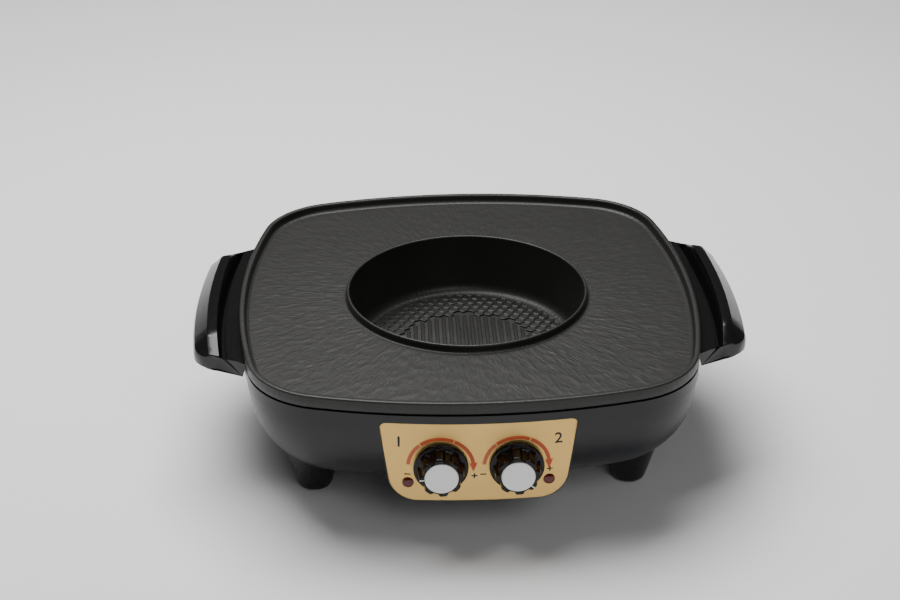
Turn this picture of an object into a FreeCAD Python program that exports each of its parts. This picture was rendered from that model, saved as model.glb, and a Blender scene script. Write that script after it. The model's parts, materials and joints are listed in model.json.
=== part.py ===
import FreeCAD, Part
import math
import os
import Sketcher

# Countertop hot pot and grill cooker: a cast plate with a round pot well, on a low bowl body.
# Millimetres. X to the right, Y to the back, Z up, and the feet stand on Z = 0.
# Pieces are laid out about the upright axis of the pot well, which lies axis_back behind the
# origin, so that the origin is under the middle of the whole cooker.

os.makedirs("parts", exist_ok=True)
doc = FreeCAD.newDocument("cooker")
Vector = FreeCAD.Vector
Rotation = FreeCAD.Rotation

DIMENSIONS = {
    # Cast plate with its well
    "plate_half": 190.0,
    "side_radius": 552.0,
    "front_radius": 506.0,
    "corner_radius": 70.0,
    "skirt_height": 10.9,
    "lip_width": 5.0,
    "plate_thick": 3.4,
    "well_radius": 97.0,
    "well_wall": 4.5,
    "well_depth": 48.7,
    "well_floor_thick": 4.0,
    "well_cove": 9.0,
    "collar_height": 6.6,
    # Body bowl
    "foot_height": 38.5,
    "bowl_height": 73.5,
    "bowl_draw": 43.6,
    "bowl_power": 2.6,
    "band_step": 1.4,
    "band_height": 10.0,
    "shell_wall": 2.6,
    "rim_gap": 0.3,
    # Front control housing and its panel
    "panel_border": 1.3,
    "panel_bedding": 0.05,
    "housing_back": 60.0,
    "panel_reach": 187.0,
    "panel_radius": 525.0,
    "panel_thick": 1.2,
    "panel_half_top": 75.3,
    "panel_half_low": 66.0,
    "panel_top": 115.0,
    "panel_bottom": 45.0,
    "panel_corner": 22.0,
    "panel_top_corner": 5.0,
    # Knobs, shafts and lamps
    "knob_across": 28.9,
    "knob_height": 76.0,
    "skirt_radius": 20.95,
    "skirt_thick": 2.4,
    "grip_radius": 18.0,
    "grip_top_radius": 16.4,
    "grip_reach": 15.4,
    "knob_gap": 0.8,
    "flute_radius": 7.0,
    "flute_depth": 1.5,
    "cap_radius": 12.75,
    "cap_thick": 2.3,
    "cap_recess": 1.2,
    "pointer_wide": 1.8,
    "pointer_thick": 0.8,
    "left_pointer_angle": 185.0,
    "right_pointer_angle": -40.0,
    "shaft_radius": 3.0,
    "shaft_play": 0.05,
    "shaft_reach": 12.0,
    "bush_radius": 5.0,
    "thermostat_half": 17.0,
    "thermostat_deep": 26.0,
    "thermostat_tag": 7.0,
    "bracket_reach": 174.0,
    "bracket_half": 62.0,
    "bracket_low": 67.5,
    "bracket_high": 98.0,
    "bracket_thick": 1.5,
    "bracket_boss": 57.0,
    "lamp_across": 54.0,
    "lamp_height": 61.0,
    "lamp_radius": 4.4,
    "lamp_deep": 20.0,
    # Handles
    "handle_reach": 228.4,
    "handle_radius": 278.0,
    "handle_half": 91.0,
    "handle_root_half": 106.0,
    "handle_corner": 15.0,
    "handle_thick": 13.0,
    "handle_wall": 3.2,
    "bar_height": 9.4,
    "bar_inset": 15.1,
    "bar_top_half": 66.7,
    "bar_foot_half": 84.5,
    "bar_ridge": 215.6,
    "bevel_height": 14.0,
    "fit_gap": 0.2,
    # Feet
    "foot_across": 130.0,
    "foot_back": 91.0,
    "foot_radius": 14.5,
    "foot_top_radius": 24.0,
    "pad_radius": 9.5,
    "pad_proud": 1.0,
    "pad_thick": 3.0,
    # Heaters and shield
    "tube_radius": 4.0,
    "pot_ring_radius": 62.0,
    "grill_ring_radius": 140.0,
    "clamp_wide": 8.0,
    "clamp_thick": 0.8,
    "wire_radius": 1.4,
    "shield_radius": 110.0,
    "shield_thick": 0.8,
    "shield_floor": 56.0,
    "shield_flange": 158.0,
    "shield_top": 108.0,
    # Bottom cover and power inlet
    "opening_radius": 104.0,
    "cover_radius": 112.0,
    "cover_thick": 2.0,
    "vent_width": 4.0,
    "vent_length": 34.0,
    "vent_pitch": 12.0,
    "inlet_half": 25.0,
    "inlet_socket_half": 13.5,
    "inlet_socket_tall": 10.0,
    "inlet_height": 68.0,
    "inlet_reach": 184.0,
    "inlet_deep": 17.0,
    "screw_radius": 1.75,
    "screw_head": 3.6,
    "screw_head_thick": 2.2,
    "post_radius": 6.0,
    "post_across": 84.0,
}


class Size:
    """A size that knows its number and the sheet expression that it comes from."""

    def __init__(self, number, text=None):
        self.number = float(number)
        self.text = text if text is not None else repr(self.number)

    def joined(self, other, sign, number):
        return Size(number, f"({self.text} {sign} {size(other).text})")

    def __add__(self, other):
        return self.joined(other, "+", self.number + size(other).number)

    def __sub__(self, other):
        return self.joined(other, "-", self.number - size(other).number)

    def __mul__(self, other):
        return self.joined(other, "*", self.number * size(other).number)

    def __truediv__(self, other):
        return self.joined(other, "/", self.number / size(other).number)

    def __pow__(self, other):
        return self.joined(other, "^", self.number ** size(other).number)

    def __radd__(self, other):
        return size(other) + self

    def __rsub__(self, other):
        return size(other) - self

    def __neg__(self):
        return Size(-self.number, f"(0 - {self.text})")


def size(value):
    """Any plain number as a Size."""
    return value if isinstance(value, Size) else Size(value)


def root(value):
    """The square root of a Size."""
    return Size(math.sqrt(value.number), f"sqrt({value.text})")


sheet = doc.addObject("Spreadsheet::Sheet", "Sizes")
D = {}
for row, (alias, number) in enumerate(DIMENSIONS.items(), start=1):
    sheet.set(f"A{row}", alias)
    sheet.set(f"B{row}", str(number))
    sheet.setAlias(f"B{row}", alias)
    D[alias] = Size(number, f"Sizes.{alias}")
doc.recompute()

# Heights and places that follow from the driving dimensions
bowl_top = D["foot_height"] + D["bowl_height"]
rim_top = bowl_top + D["band_height"]
plate_base = rim_top + D["rim_gap"]
field_top = plate_base + D["plate_thick"]
lip_top = plate_base + D["skirt_height"]
well_floor = field_top - D["well_depth"]
well_base = well_floor - D["well_floor_thick"]
panel_face = D["panel_reach"]
panel_seat = D["panel_reach"] - D["panel_thick"] - D["panel_bedding"]
cap_proud = D["cap_thick"] - D["cap_recess"]
knob_front = D["panel_reach"] + D["knob_gap"] + D["grip_reach"] + cap_proud
axis_back = (knob_front - D["plate_half"]) / 2
pieces = []


def bind(item, path, value):
    """Ties one property of an object to the sheet."""
    item.setExpression(path, size(value).text)


def place(item, x=0, y=0, z=0, turn=None):
    """Puts a finished piece at its place, measured from the well's axis and the floor."""
    if turn is not None:
        item.Placement = FreeCAD.Placement(Vector(0, 0, 0), turn)
    bind(item, "Placement.Base.x", x)
    bind(item, "Placement.Base.y", size(y) + axis_back)
    bind(item, "Placement.Base.z", z)


def keep(item, label):
    """Names a finished piece and puts it on the list of pieces to write."""
    item.Label = label
    pieces.append(item)
    return item


def new_body(label):
    """An empty body that is one piece of the cooker."""
    return keep(doc.addObject("PartDesign::Body", label + "_body"), label)


def sketch_on(body, role, offset=0):
    """A sketch on one of the body's own planes, moved along its normal."""
    plane = next(f for f in body.Origin.OriginFeatures if f.Role == role)
    sketch = body.newObject("Sketcher::SketchObject", "Sketch")
    sketch.AttachmentSupport = [(plane, "")]
    sketch.MapMode = "FlatFace"
    bind(sketch, ".AttachmentOffset.Base.z", offset)
    return sketch


def rule(sketch, kind, *arguments, value=None):
    """Adds a constraint, tied to the sheet where it has a value."""
    if value is None:
        return sketch.addConstraint(Sketcher.Constraint(kind, *arguments))
    value = size(value)
    index = sketch.addConstraint(Sketcher.Constraint(kind, *arguments, value.number))
    sketch.setExpression(f"Constraints[{index}]", value.text)
    return index


def pin_point(sketch, geo, pos, x, y):
    """Fixes a sketch point by its two coordinates."""
    for kind, value, axis in (("DistanceX", size(x), -2), ("DistanceY", size(y), -1)):
        if value.number == 0:
            rule(sketch, "PointOnObject", geo, pos, axis)
        else:
            rule(sketch, kind, geo, pos, value=value)


def polygon(sketch, points, construction=False):
    """A closed outline of straight lines through points given as pairs of sizes."""
    points = [(size(x), size(y)) for x, y in points]
    start = sketch.GeometryCount
    count = len(points)
    for index, (x, y) in enumerate(points):
        far_x, far_y = points[(index + 1) % count]
        line = Part.LineSegment(Vector(x.number, y.number, 0),
                                Vector(far_x.number, far_y.number, 0))
        sketch.addGeometry(line, construction)
    for index, (x, y) in enumerate(points):
        rule(sketch, "Coincident", start + index, 2, start + (index + 1) % count, 1)
        pin_point(sketch, start + index, 1, x, y)
    return start


def rounded_polygon(sketch, corners):
    """A closed outline with round corners, given leftwards as x, y and corner radius."""
    corners = [(size(x), size(y), size(radius)) for x, y, radius in corners]
    count = len(corners)
    frame = polygon(sketch, [(x, y) for x, y, radius in corners], construction=True)
    ends = []
    for index, (x, y, radius) in enumerate(corners):
        here = Vector(x.number, y.number, 0)
        back = Vector(corners[index - 1][0].number, corners[index - 1][1].number, 0) - here
        ahead = corners[(index + 1) % count]
        ahead = Vector(ahead[0].number, ahead[1].number, 0) - here
        back.normalize()
        ahead.normalize()
        half = back.getAngle(ahead) / 2
        reach = radius.number / math.tan(half)
        middle = here + (back + ahead).normalize() * (radius.number / math.sin(half))
        start, end = here + back * reach, here + ahead * reach
        ends.append((start, end, middle, radius))
    arcs = []
    for start, end, middle, radius in ends:
        first = math.atan2(start.y - middle.y, start.x - middle.x)
        last = math.atan2(end.y - middle.y, end.x - middle.x)
        if last < first:
            last += 2 * math.pi
        arcs.append(arc_between(sketch, middle, radius.number, first, last))
        rule(sketch, "Radius", arcs[-1], value=radius)
    for index in range(count):
        following = (index + 1) % count
        line = sketch.addGeometry(Part.LineSegment(ends[index][1], ends[following][0]), False)
        rule(sketch, "Tangent", arcs[index], 2, line, 1)
        rule(sketch, "Tangent", line, 2, arcs[following], 1)
        rule(sketch, "PointOnObject", line, 1, frame + index)
        rule(sketch, "PointOnObject", line, 2, frame + index)


def rectangle(sketch, x0, y0, x1, y1):
    """A closed rectangle between two corners."""
    return polygon(sketch, [(x0, y0), (x1, y0), (x1, y1), (x0, y1)])


def circle(sketch, x, y, radius):
    """A circle about a point."""
    x, y, radius = size(x), size(y), size(radius)
    geo = sketch.addGeometry(Part.Circle(Vector(x.number, y.number, 0), Vector(0, 0, 1),
                                         radius.number), False)
    rule(sketch, "Radius", geo, value=radius)
    pin_point(sketch, geo, 3, x, y)
    return geo


def arc_between(sketch, centre, radius, start, end):
    """An arc about a centre, turning to the left from the start angle to the end angle."""
    around = Part.Circle(Vector(centre[0], centre[1], 0), Vector(0, 0, 1), radius)
    return sketch.addGeometry(Part.ArcOfCircle(around, start, end), False)


def plate_outline(sketch, inset=0):
    """The plate's outline: four long shallow arcs joined by four corner arcs, moved inwards."""
    inset = size(inset)
    side = D["side_radius"] - inset
    front = D["front_radius"] - inset
    corner = D["corner_radius"] - inset
    side_centre = D["plate_half"] - D["side_radius"]
    front_centre = D["plate_half"] - D["front_radius"]
    near = side.number - corner.number
    far = front.number - corner.number
    apart = math.hypot(side_centre.number, front_centre.number)
    along = (apart ** 2 + near ** 2 - far ** 2) / (2 * apart)
    off = math.sqrt(near ** 2 - along ** 2)
    unit_x = -side_centre.number / apart
    unit_y = front_centre.number / apart
    centre_x = side_centre.number + along * unit_x - off * unit_y
    centre_y = along * unit_y + off * unit_x
    low = math.atan2(centre_y, centre_x - side_centre.number)
    high = math.atan2(centre_y - front_centre.number, centre_x)
    quarter = math.pi / 2
    arcs = []
    for turn in range(4):
        sx = 1 if turn in (0, 3) else -1
        sy = 1 if turn in (0, 1) else -1
        centre = (sx * centre_x, sy * centre_y)
        if turn in (0, 2):
            start, end = turn * quarter + low, turn * quarter + high
        else:
            start = turn * quarter + quarter - high
            end = turn * quarter + quarter - low
        if turn % 2 == 0:
            middle = (sx * side_centre.number, 0)
            long_arc = (middle, side.number, turn * quarter - low, turn * quarter + low)
        else:
            middle = (0, sy * front_centre.number)
            spread = quarter - high
            long_arc = (middle, front.number, turn * quarter - spread, turn * quarter + spread)
        arcs.append(arc_between(sketch, *long_arc))
        arcs.append(arc_between(sketch, centre, corner.number, start, end))
    for place_in_ring, geo in enumerate(arcs):
        rule(sketch, "Tangent", geo, 2, arcs[(place_in_ring + 1) % 8], 1)
    for turn in range(4):
        long_geo, corner_geo = arcs[2 * turn], arcs[2 * turn + 1]
        rule(sketch, "Radius", corner_geo, value=corner)
        if turn % 2 == 0:
            rule(sketch, "Radius", long_geo, value=side)
            pin_point(sketch, long_geo, 3, side_centre if turn == 0 else -side_centre, 0)
        else:
            rule(sketch, "Radius", long_geo, value=front)
            pin_point(sketch, long_geo, 3, 0, front_centre if turn == 1 else -front_centre)
    return sketch


def pad(body, sketch, length, reverse=False):
    """Adds material from a sketch along its normal."""
    feature = body.newObject("PartDesign::Pad", "Pad")
    feature.Profile = sketch
    bind(feature, "Length", length)
    feature.Reversed = reverse
    return feature


def pocket(body, sketch, length, reverse=False):
    """Takes material away from a sketch, against its normal unless reversed."""
    feature = body.newObject("PartDesign::Pocket", "Pocket")
    feature.Profile = sketch
    bind(feature, "Length", length)
    feature.Reversed = reverse
    return feature


def revolve(body, sketch, groove=False):
    """Turns a profile a whole turn about the upright axis."""
    kind = "PartDesign::Groove" if groove else "PartDesign::Revolution"
    feature = body.newObject(kind, "Turned")
    feature.Profile = sketch
    feature.ReferenceAxis = (sketch, ["V_Axis"])
    feature.Angle = 360
    return feature


def turned(label, points):
    """A piece turned about its own upright axis from a profile of radius and height."""
    body = new_body(label)
    sketch = sketch_on(body, "XZ_Plane")
    polygon(sketch, points)
    revolve(body, sketch)
    return body


def round_edges(body, feature, radius, chosen, kind="PartDesign::Fillet"):
    """Rounds or bevels the edges of the last feature that a test picks."""
    doc.recompute()
    names = [f"Edge{index}" for index, edge in enumerate(feature.Shape.Edges, start=1)
             if chosen(edge)]
    if not names:
        raise ValueError("no edge to round on " + body.Label)
    rounding = body.newObject(kind, "Rounded")
    rounding.Base = (feature, names)
    bind(rounding, "Size" if kind.endswith("Chamfer") else "Radius", radius)
    doc.recompute()
    return rounding


def level_edge(height, least_length=0.0):
    """A test for edges that lie flat at one height."""
    def test(edge):
        box = edge.BoundBox
        return (abs(box.ZMin - height.number) < 0.01 and abs(box.ZMax - height.number) < 0.01
                and edge.Length > least_length)
    return test


def upright_edge(least_length):
    """A test for edges that stand upright."""
    def test(edge):
        box = edge.BoundBox
        return (box.ZLength > least_length and box.XLength < 0.01 and box.YLength < 0.01)
    return test


def make_grill_pan():
    """One casting: flat plate with a raised lip, and the pot well sunk through its middle."""
    body = new_body("grill_pan")
    slab = pad(body, plate_outline(sketch_on(body, "XY_Plane", plate_base)), D["skirt_height"])
    tray_sketch = plate_outline(sketch_on(body, "XY_Plane", lip_top), D["lip_width"])
    tray = pocket(body, tray_sketch, D["skirt_height"] - D["plate_thick"])
    rounded = round_edges(body, tray, 1.6, level_edge(lip_top, 20))
    round_edges(body, rounded, 3.2, level_edge(field_top, 20))
    outer = D["well_radius"] + D["well_wall"]
    wall = sketch_on(body, "XZ_Plane")
    polygon(wall, [(0, well_base), (outer - D["well_cove"], well_base),
                   (outer, well_base + D["well_cove"]), (outer, field_top + D["collar_height"]),
                   (0, field_top + D["collar_height"])])
    revolve(body, wall)
    hollow = sketch_on(body, "XZ_Plane")
    above = lip_top + D["skirt_height"]
    polygon(hollow, [(0, well_floor), (D["well_radius"] - D["well_cove"], well_floor),
                     (D["well_radius"], well_floor + D["well_cove"]),
                     (D["well_radius"] + 2, field_top + D["collar_height"]),
                     (D["well_radius"] + 2, above), (0, above)])
    cavity = revolve(body, hollow, groove=True)
    round_edges(body, cavity, 1.0, level_edge(field_top + D["collar_height"]))
    bosses = sketch_on(body, "XY_Plane", D["shield_top"])
    bores = sketch_on(body, "XY_Plane", D["shield_top"])
    for x, y in four_ways(D["post_across"]):
        circle(bosses, x, y, D["post_radius"] - 0.5)
        circle(bores, x, y, D["screw_radius"])
    pad(body, bosses, plate_base - D["shield_top"])
    pocket(body, bores, plate_base - D["shield_top"] - 2, reverse=True)
    place(body)
    return body


def bowl_inset(height):
    """How far the bowl's wall stands inside the plate's outline at a height."""
    share = (bowl_top - height) / D["bowl_height"]
    return D["band_step"] + D["bowl_draw"] * share ** D["bowl_power"]


def bowl_sections(body, inset, floor, levels=(0.0, 0.12, 0.26, 0.44, 0.66, 1.0)):
    """Sketches of the bowl's outline at rising heights."""
    sketches = []
    for share in levels:
        height = floor + (bowl_top - floor) * share
        sketches.append(plate_outline(sketch_on(body, "XY_Plane", height),
                                      bowl_inset(height) + inset))
    return sketches


def bowed_space(sketch, middle, wide, out):
    """A space with one bowed edge and straight sides, as far out or back as asked."""
    middle, wide, out = size(middle), size(wide), size(out)
    radius = D["panel_radius"]
    side_y = middle - root(radius * radius - wide * wide)
    swing = math.asin(wide.number / radius.number)
    down = -math.pi / 2
    bow = arc_between(sketch, (0, middle.number), radius.number, down - swing, down + swing)
    corners = [((wide, side_y), (wide, out)), ((wide, out), (-wide, out)),
               ((-wide, out), (-wide, side_y))]
    for (x0, y0), (x1, y1) in corners:
        sketch.addGeometry(Part.LineSegment(Vector(x0.number, y0.number, 0),
                                            Vector(x1.number, y1.number, 0)), False)
    for geo in range(3):
        rule(sketch, "Coincident", bow + geo, 2, bow + geo + 1, 1)
    rule(sketch, "Coincident", bow + 3, 2, bow, 1)
    rule(sketch, "Radius", bow, value=radius)
    pin_point(sketch, bow, 3, 0, middle)
    rule(sketch, "DistanceX", bow, 2, value=wide)
    rule(sketch, "DistanceX", bow, 1, value=-wide)
    pin_point(sketch, bow + 1, 2, wide, out)
    pin_point(sketch, bow + 2, 2, -wide, out)
    return sketch


def housing_centre(reach):
    """Where the bowed front's centre lies for a front at a reach."""
    return D["panel_radius"] - reach


def panel_outline(sketch, spread):
    """Front view of the panel, larger by a spread: sides drawn in towards a rounded foot."""
    spread = size(spread)
    low, high = D["panel_half_low"] + spread, D["panel_half_top"] + spread
    bottom, top = D["panel_bottom"] - spread, D["panel_top"] + spread
    foot, head = D["panel_corner"] + spread, D["panel_top_corner"] + spread
    rounded_polygon(sketch, [(-low, bottom, foot), (low, bottom, foot), (high, top, head),
                             (-high, top, head)])
    return sketch


def panel_block(name, spread, reach, back, front_only=False):
    """A block with the panel's outline, its front or its back bowed like the panel."""
    block = doc.addObject("PartDesign::Body", name)
    past = D["plate_half"] + 6
    outline = panel_outline(sketch_on(block, "XZ_Plane", past), spread)
    pad(block, outline, past - back, reverse=True)
    above = D["panel_top"] + 10
    wide = D["panel_half_top"] + 15
    sketch = sketch_on(block, "XY_Plane", above)
    if front_only:
        bowed_space(sketch, housing_centre(reach), wide, 1 - back)
    else:
        bowed_space(sketch, housing_centre(reach), wide, -past - 5)
    pocket(block, sketch, above)
    return block


def join(body, kind, tools):
    """Adds other bodies to this one or cuts them from it."""
    feature = body.newObject("PartDesign::Boolean", kind)
    feature.Type = kind
    feature.setObjects(tools)
    return feature


def add_loft(body, inset, floor):
    """The bowl's form, smaller by an inset, from a floor up to its top."""
    loft = body.newObject("PartDesign::AdditiveLoft", "Bowl")
    sketches = bowl_sections(body, inset, floor)
    loft.Profile = sketches[0]
    loft.Sections = sketches[1:]


def inlet_flat(sketch, inset):
    """The rear flat's outline, smaller by an inset."""
    side = D["inlet_half"] + 6 - inset
    rise, corner = 19 - size(inset), 8 - size(inset)
    low, high = D["inlet_height"] - rise, D["inlet_height"] + rise
    rounded_polygon(sketch, [(-side, low, corner), (side, low, corner),
                             (side, high, corner), (-side, high, corner)])
    return sketch


def make_cavity():
    """The room inside the shell: bowl, front housing and the space behind the inlet."""
    cavity = doc.addObject("PartDesign::Body", "shell_cavity")
    wall = D["shell_wall"]
    add_loft(cavity, wall, D["foot_height"] + wall)
    mouth = plate_outline(sketch_on(cavity, "XY_Plane", bowl_top), wall + D["band_step"])
    pad(cavity, mouth, D["band_height"] + 1)
    top = D["panel_top"] + D["panel_border"]
    front = housing_centre(panel_seat - wall)
    kept_wall = bowed_space(sketch_on(cavity, "XY_Plane", top), front,
                            D["panel_half_top"] + D["panel_border"], -D["plate_half"] - 5)
    pocket(cavity, kept_wall, top - D["panel_bottom"])
    room = panel_block("housing_room", D["panel_border"] - wall, panel_seat - wall,
                       panel_seat - D["housing_back"] - 10)
    join(cavity, "Fuse", [room])
    behind = inlet_flat(sketch_on(cavity, "XZ_Plane", wall - D["inlet_reach"]), wall)
    pad(cavity, behind, 50)
    return cavity


def make_body_shell():
    """Bowl with a rim band, a front housing for the controls and a flat for the inlet."""
    cavity = make_cavity()
    body = new_body("body_shell")
    add_loft(body, 0, D["foot_height"])
    pad(body, plate_outline(sketch_on(body, "XY_Plane", bowl_top)), D["band_height"])
    housing = panel_block("housing_block", D["panel_border"], panel_seat,
                          panel_seat - D["housing_back"])
    join(body, "Fuse", [housing])
    pad(body, inlet_flat(sketch_on(body, "XZ_Plane", -D["inlet_reach"]), 0), 40)
    recess = panel_block("panel_recess", D["fit_gap"], panel_seat, panel_seat - 20, True)
    join(body, "Cut", [cavity, recess])
    opening = sketch_on(body, "XY_Plane", D["foot_height"] + 10)
    circle(opening, 0, 0, D["opening_radius"])
    pocket(body, opening, 20)
    add_bosses(body)
    drill_shell(body)
    place(body)
    return body


def four_ways(across, back=None):
    """The four corner places at plus and minus two distances."""
    back = across if back is None else back
    return [(across, back), (-across, back), (-across, -back), (across, -back)]


def add_bosses(body):
    """Posts for the plate's screws and short bosses for the cover and the bracket."""
    posts = sketch_on(body, "XY_Plane", D["foot_height"])
    for x, y in four_ways(D["post_across"]):
        circle(posts, x, y, D["post_radius"])
    pad(body, posts, D["shield_top"] - D["shield_thick"] - D["foot_height"])
    bosses = sketch_on(body, "XY_Plane", D["foot_height"])
    for x, y in cover_places():
        circle(bosses, x, y, D["screw_head"])
    pad(body, bosses, 10)
    stands = sketch_on(body, "XZ_Plane", D["bracket_reach"])
    for x, z in bracket_places():
        circle(stands, x, z, D["screw_head"])
    pad(body, stands, 7)


def cover_places():
    """Where the cover's screws stand, on the two long axes."""
    middle = (D["opening_radius"] + D["cover_radius"]) / 2
    return [(middle, 0), (-middle, 0), (0, middle), (0, -middle)]


def bracket_places():
    """Where the bracket's screws stand, seen from the front."""
    low = D["bracket_low"] + D["screw_head"] + 1
    high = D["bracket_high"] - D["screw_head"] - 1
    across = D["bracket_boss"]
    return [(across, low), (-across, low), (across, high), (-across, high)]


def handle_places():
    """Where the handle screws cross the rim band, as distance back and height."""
    height = rim_top - D["band_height"] / 2 - 1
    return [(52, height), (-52, height)]


def inlet_places():
    """Where the inlet's two screws stand."""
    return [(D["inlet_half"] - 5, D["inlet_height"]), (-(D["inlet_half"] - 5), D["inlet_height"])]


def drill_shell(body):
    """Every hole in the shell, each from the size of what passes through it."""
    bore = sketch_on(body, "XY_Plane", D["foot_height"])
    for x, y in four_ways(D["post_across"]):
        circle(bore, x, y, D["screw_head"] + D["fit_gap"])
    pocket(body, bore, D["shield_top"] - D["foot_height"] - 12, reverse=True)
    through = sketch_on(body, "XY_Plane", D["foot_height"])
    for x, y in four_ways(D["post_across"]):
        circle(through, x, y, D["screw_radius"] + D["fit_gap"])
    for x, y in four_ways(D["foot_across"], D["foot_back"]):
        circle(through, x, y, D["screw_radius"] + D["fit_gap"])
    pocket(body, through, 80, reverse=True)
    blind = sketch_on(body, "XY_Plane", D["foot_height"])
    for x, y in cover_places():
        circle(blind, x, y, D["screw_radius"])
    pocket(body, blind, 8, reverse=True)
    front = sketch_on(body, "XZ_Plane", D["panel_reach"])
    for side in (1, -1):
        circle(front, D["knob_across"] * side, D["knob_height"], D["bush_radius"] + D["fit_gap"])
        circle(front, D["lamp_across"] * side, D["lamp_height"], D["lamp_radius"] + 0.1)
    pocket(body, front, D["panel_reach"] - D["bracket_reach"] - 2)
    screw_bores = sketch_on(body, "XZ_Plane", D["bracket_reach"])
    for x, z in bracket_places():
        circle(screw_bores, x, z, D["screw_radius"])
    pocket(body, screw_bores, 4, reverse=True)
    back = sketch_on(body, "XZ_Plane", -D["inlet_reach"])
    reach = D["inlet_socket_half"] + D["fit_gap"]
    tall = D["inlet_socket_tall"] + D["fit_gap"]
    rectangle(back, -reach, D["inlet_height"] - tall, reach, D["inlet_height"] + tall)
    for x, z in inlet_places():
        circle(back, x, z, D["screw_radius"])
    pocket(body, back, 8, reverse=True)
    sides = sketch_on(body, "YZ_Plane", -D["plate_half"] - 5)
    for y, z in handle_places():
        circle(sides, y, z, D["screw_radius"] + D["fit_gap"])
    pocket(body, sides, D["plate_half"] * 2 + 10, reverse=True)


def make_control_panel():
    """Thin bowed metal fascia on the housing, with holes for the shafts and lamps."""
    body = new_body("control_panel")
    height = D["panel_top"] - D["panel_bottom"]
    plan = sketch_on(body, "XY_Plane", D["panel_bottom"])
    bowed_space(plan, housing_centre(D["panel_reach"]), D["panel_half_top"],
                15 - D["panel_reach"])
    pad(body, plan, height)
    core = sketch_on(body, "XY_Plane", D["panel_bottom"])
    circle(core, 0, D["panel_radius"] - D["panel_reach"], D["panel_radius"] - D["panel_thick"])
    pocket(body, core, height, reverse=True)
    trim = sketch_on(body, "XZ_Plane", D["panel_reach"] + 1)
    panel_outline(trim, 0)
    wide = D["panel_half_top"] + 10
    rectangle(trim, -wide, D["panel_bottom"] - 10, wide, D["panel_top"] + 10)
    pocket(body, trim, 30)
    holes = sketch_on(body, "XZ_Plane", D["panel_reach"] + 1)
    for side in (1, -1):
        circle(holes, D["knob_across"] * side, D["knob_height"], D["bush_radius"] + D["fit_gap"])
        circle(holes, D["lamp_across"] * side, D["lamp_height"], D["lamp_radius"] + 0.1)
    pocket(body, holes, 15)
    place(body)


FACING_FRONT = Rotation(Vector(1, 0, 0), 90)


def dial_turn(angle):
    """Turns a piece built along Z to face the front, then about its own axis."""
    return FACING_FRONT.multiply(Rotation(Vector(0, 0, 1), angle))


def make_knob(side_name, side, angle):
    """Fluted knob with a skirt, its pale cap, its pointer inlay and the shaft it sits on."""
    across = D["knob_across"] * side
    seat = -(D["panel_reach"] + D["knob_gap"])
    turn = dial_turn(angle)
    body = new_body(side_name + "_knob")
    profile = sketch_on(body, "XZ_Plane")
    seat_radius = D["cap_radius"] + D["fit_gap"]
    cap_floor = D["grip_reach"] - D["cap_recess"]
    polygon(profile, [
        (0, 0), (D["skirt_radius"] - 0.6, 0), (D["skirt_radius"], 0.6),
        (D["skirt_radius"], D["skirt_thick"] - 0.8),
        (D["skirt_radius"] - 1.0, D["skirt_thick"]), (D["grip_radius"], D["skirt_thick"]),
        (D["grip_top_radius"], D["grip_reach"] - 0.9),
        (D["grip_top_radius"] - 0.9, D["grip_reach"]), (seat_radius, D["grip_reach"]),
        (seat_radius, cap_floor), (0, cap_floor)])
    revolve(body, profile)
    under = sketch_on(body, "XY_Plane")
    circle(under, 0, 0, D["grip_top_radius"] - D["flute_depth"] - 1.6)
    circle(under, 0, 0, D["shaft_radius"] + 3)
    pocket(body, under, D["grip_reach"] - 4, reverse=True)
    socket = sketch_on(body, "XY_Plane")
    circle(socket, 0, 0, D["shaft_radius"] + D["shaft_play"])
    pocket(body, socket, D["shaft_reach"], reverse=True)
    flute = sketch_on(body, "XY_Plane", D["grip_reach"])
    middle = D["grip_radius"] + D["flute_radius"] - D["flute_depth"]
    circle(flute, middle, 0, D["flute_radius"])
    scoop = pocket(body, flute, D["grip_reach"] - D["skirt_thick"])
    ring = body.newObject("PartDesign::PolarPattern", "Flutes")
    ring.Originals = [scoop]
    ring.Axis = (flute, ["N_Axis"])
    ring.Angle = 360
    ring.Occurrences = 8
    body.Tip = ring
    doc.recompute()
    slot = sketch_on(body, "XY_Plane", D["grip_reach"])
    half = D["pointer_wide"] / 2
    near = seat_radius + 0.3
    far = D["grip_top_radius"] - 1.3
    rectangle(slot, -far, -half, -near, half)
    pocket(body, slot, D["pointer_thick"])
    place(body, across, seat, D["knob_height"], turn)
    inlay = new_body(side_name + "_pointer")
    bar = sketch_on(inlay, "XY_Plane", D["grip_reach"] - D["pointer_thick"])
    rectangle(bar, -far, -half, -near, half)
    pad(inlay, bar, D["pointer_thick"] + 0.1)
    place(inlay, across, seat, D["knob_height"], turn)
    lid_top = cap_floor + D["cap_thick"]
    cap = turned(side_name + "_knob_cap", [
        (0, cap_floor), (D["cap_radius"], cap_floor), (D["cap_radius"], lid_top - 0.7),
        (D["cap_radius"] - 0.6, lid_top - 0.2), (D["cap_radius"] - 2.0, lid_top), (0, lid_top)])
    place(cap, across, seat, D["knob_height"], turn)
    back = D["panel_reach"] + D["knob_gap"] - D["bracket_reach"] + 14
    shaft = turned(side_name + "_shaft", [
        (0, -back), (D["shaft_radius"], -back), (D["shaft_radius"], D["shaft_reach"] - 0.6),
        (D["shaft_radius"] - 0.5, D["shaft_reach"]), (0, D["shaft_reach"])])
    place(shaft, across, seat, D["knob_height"], turn)


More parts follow.
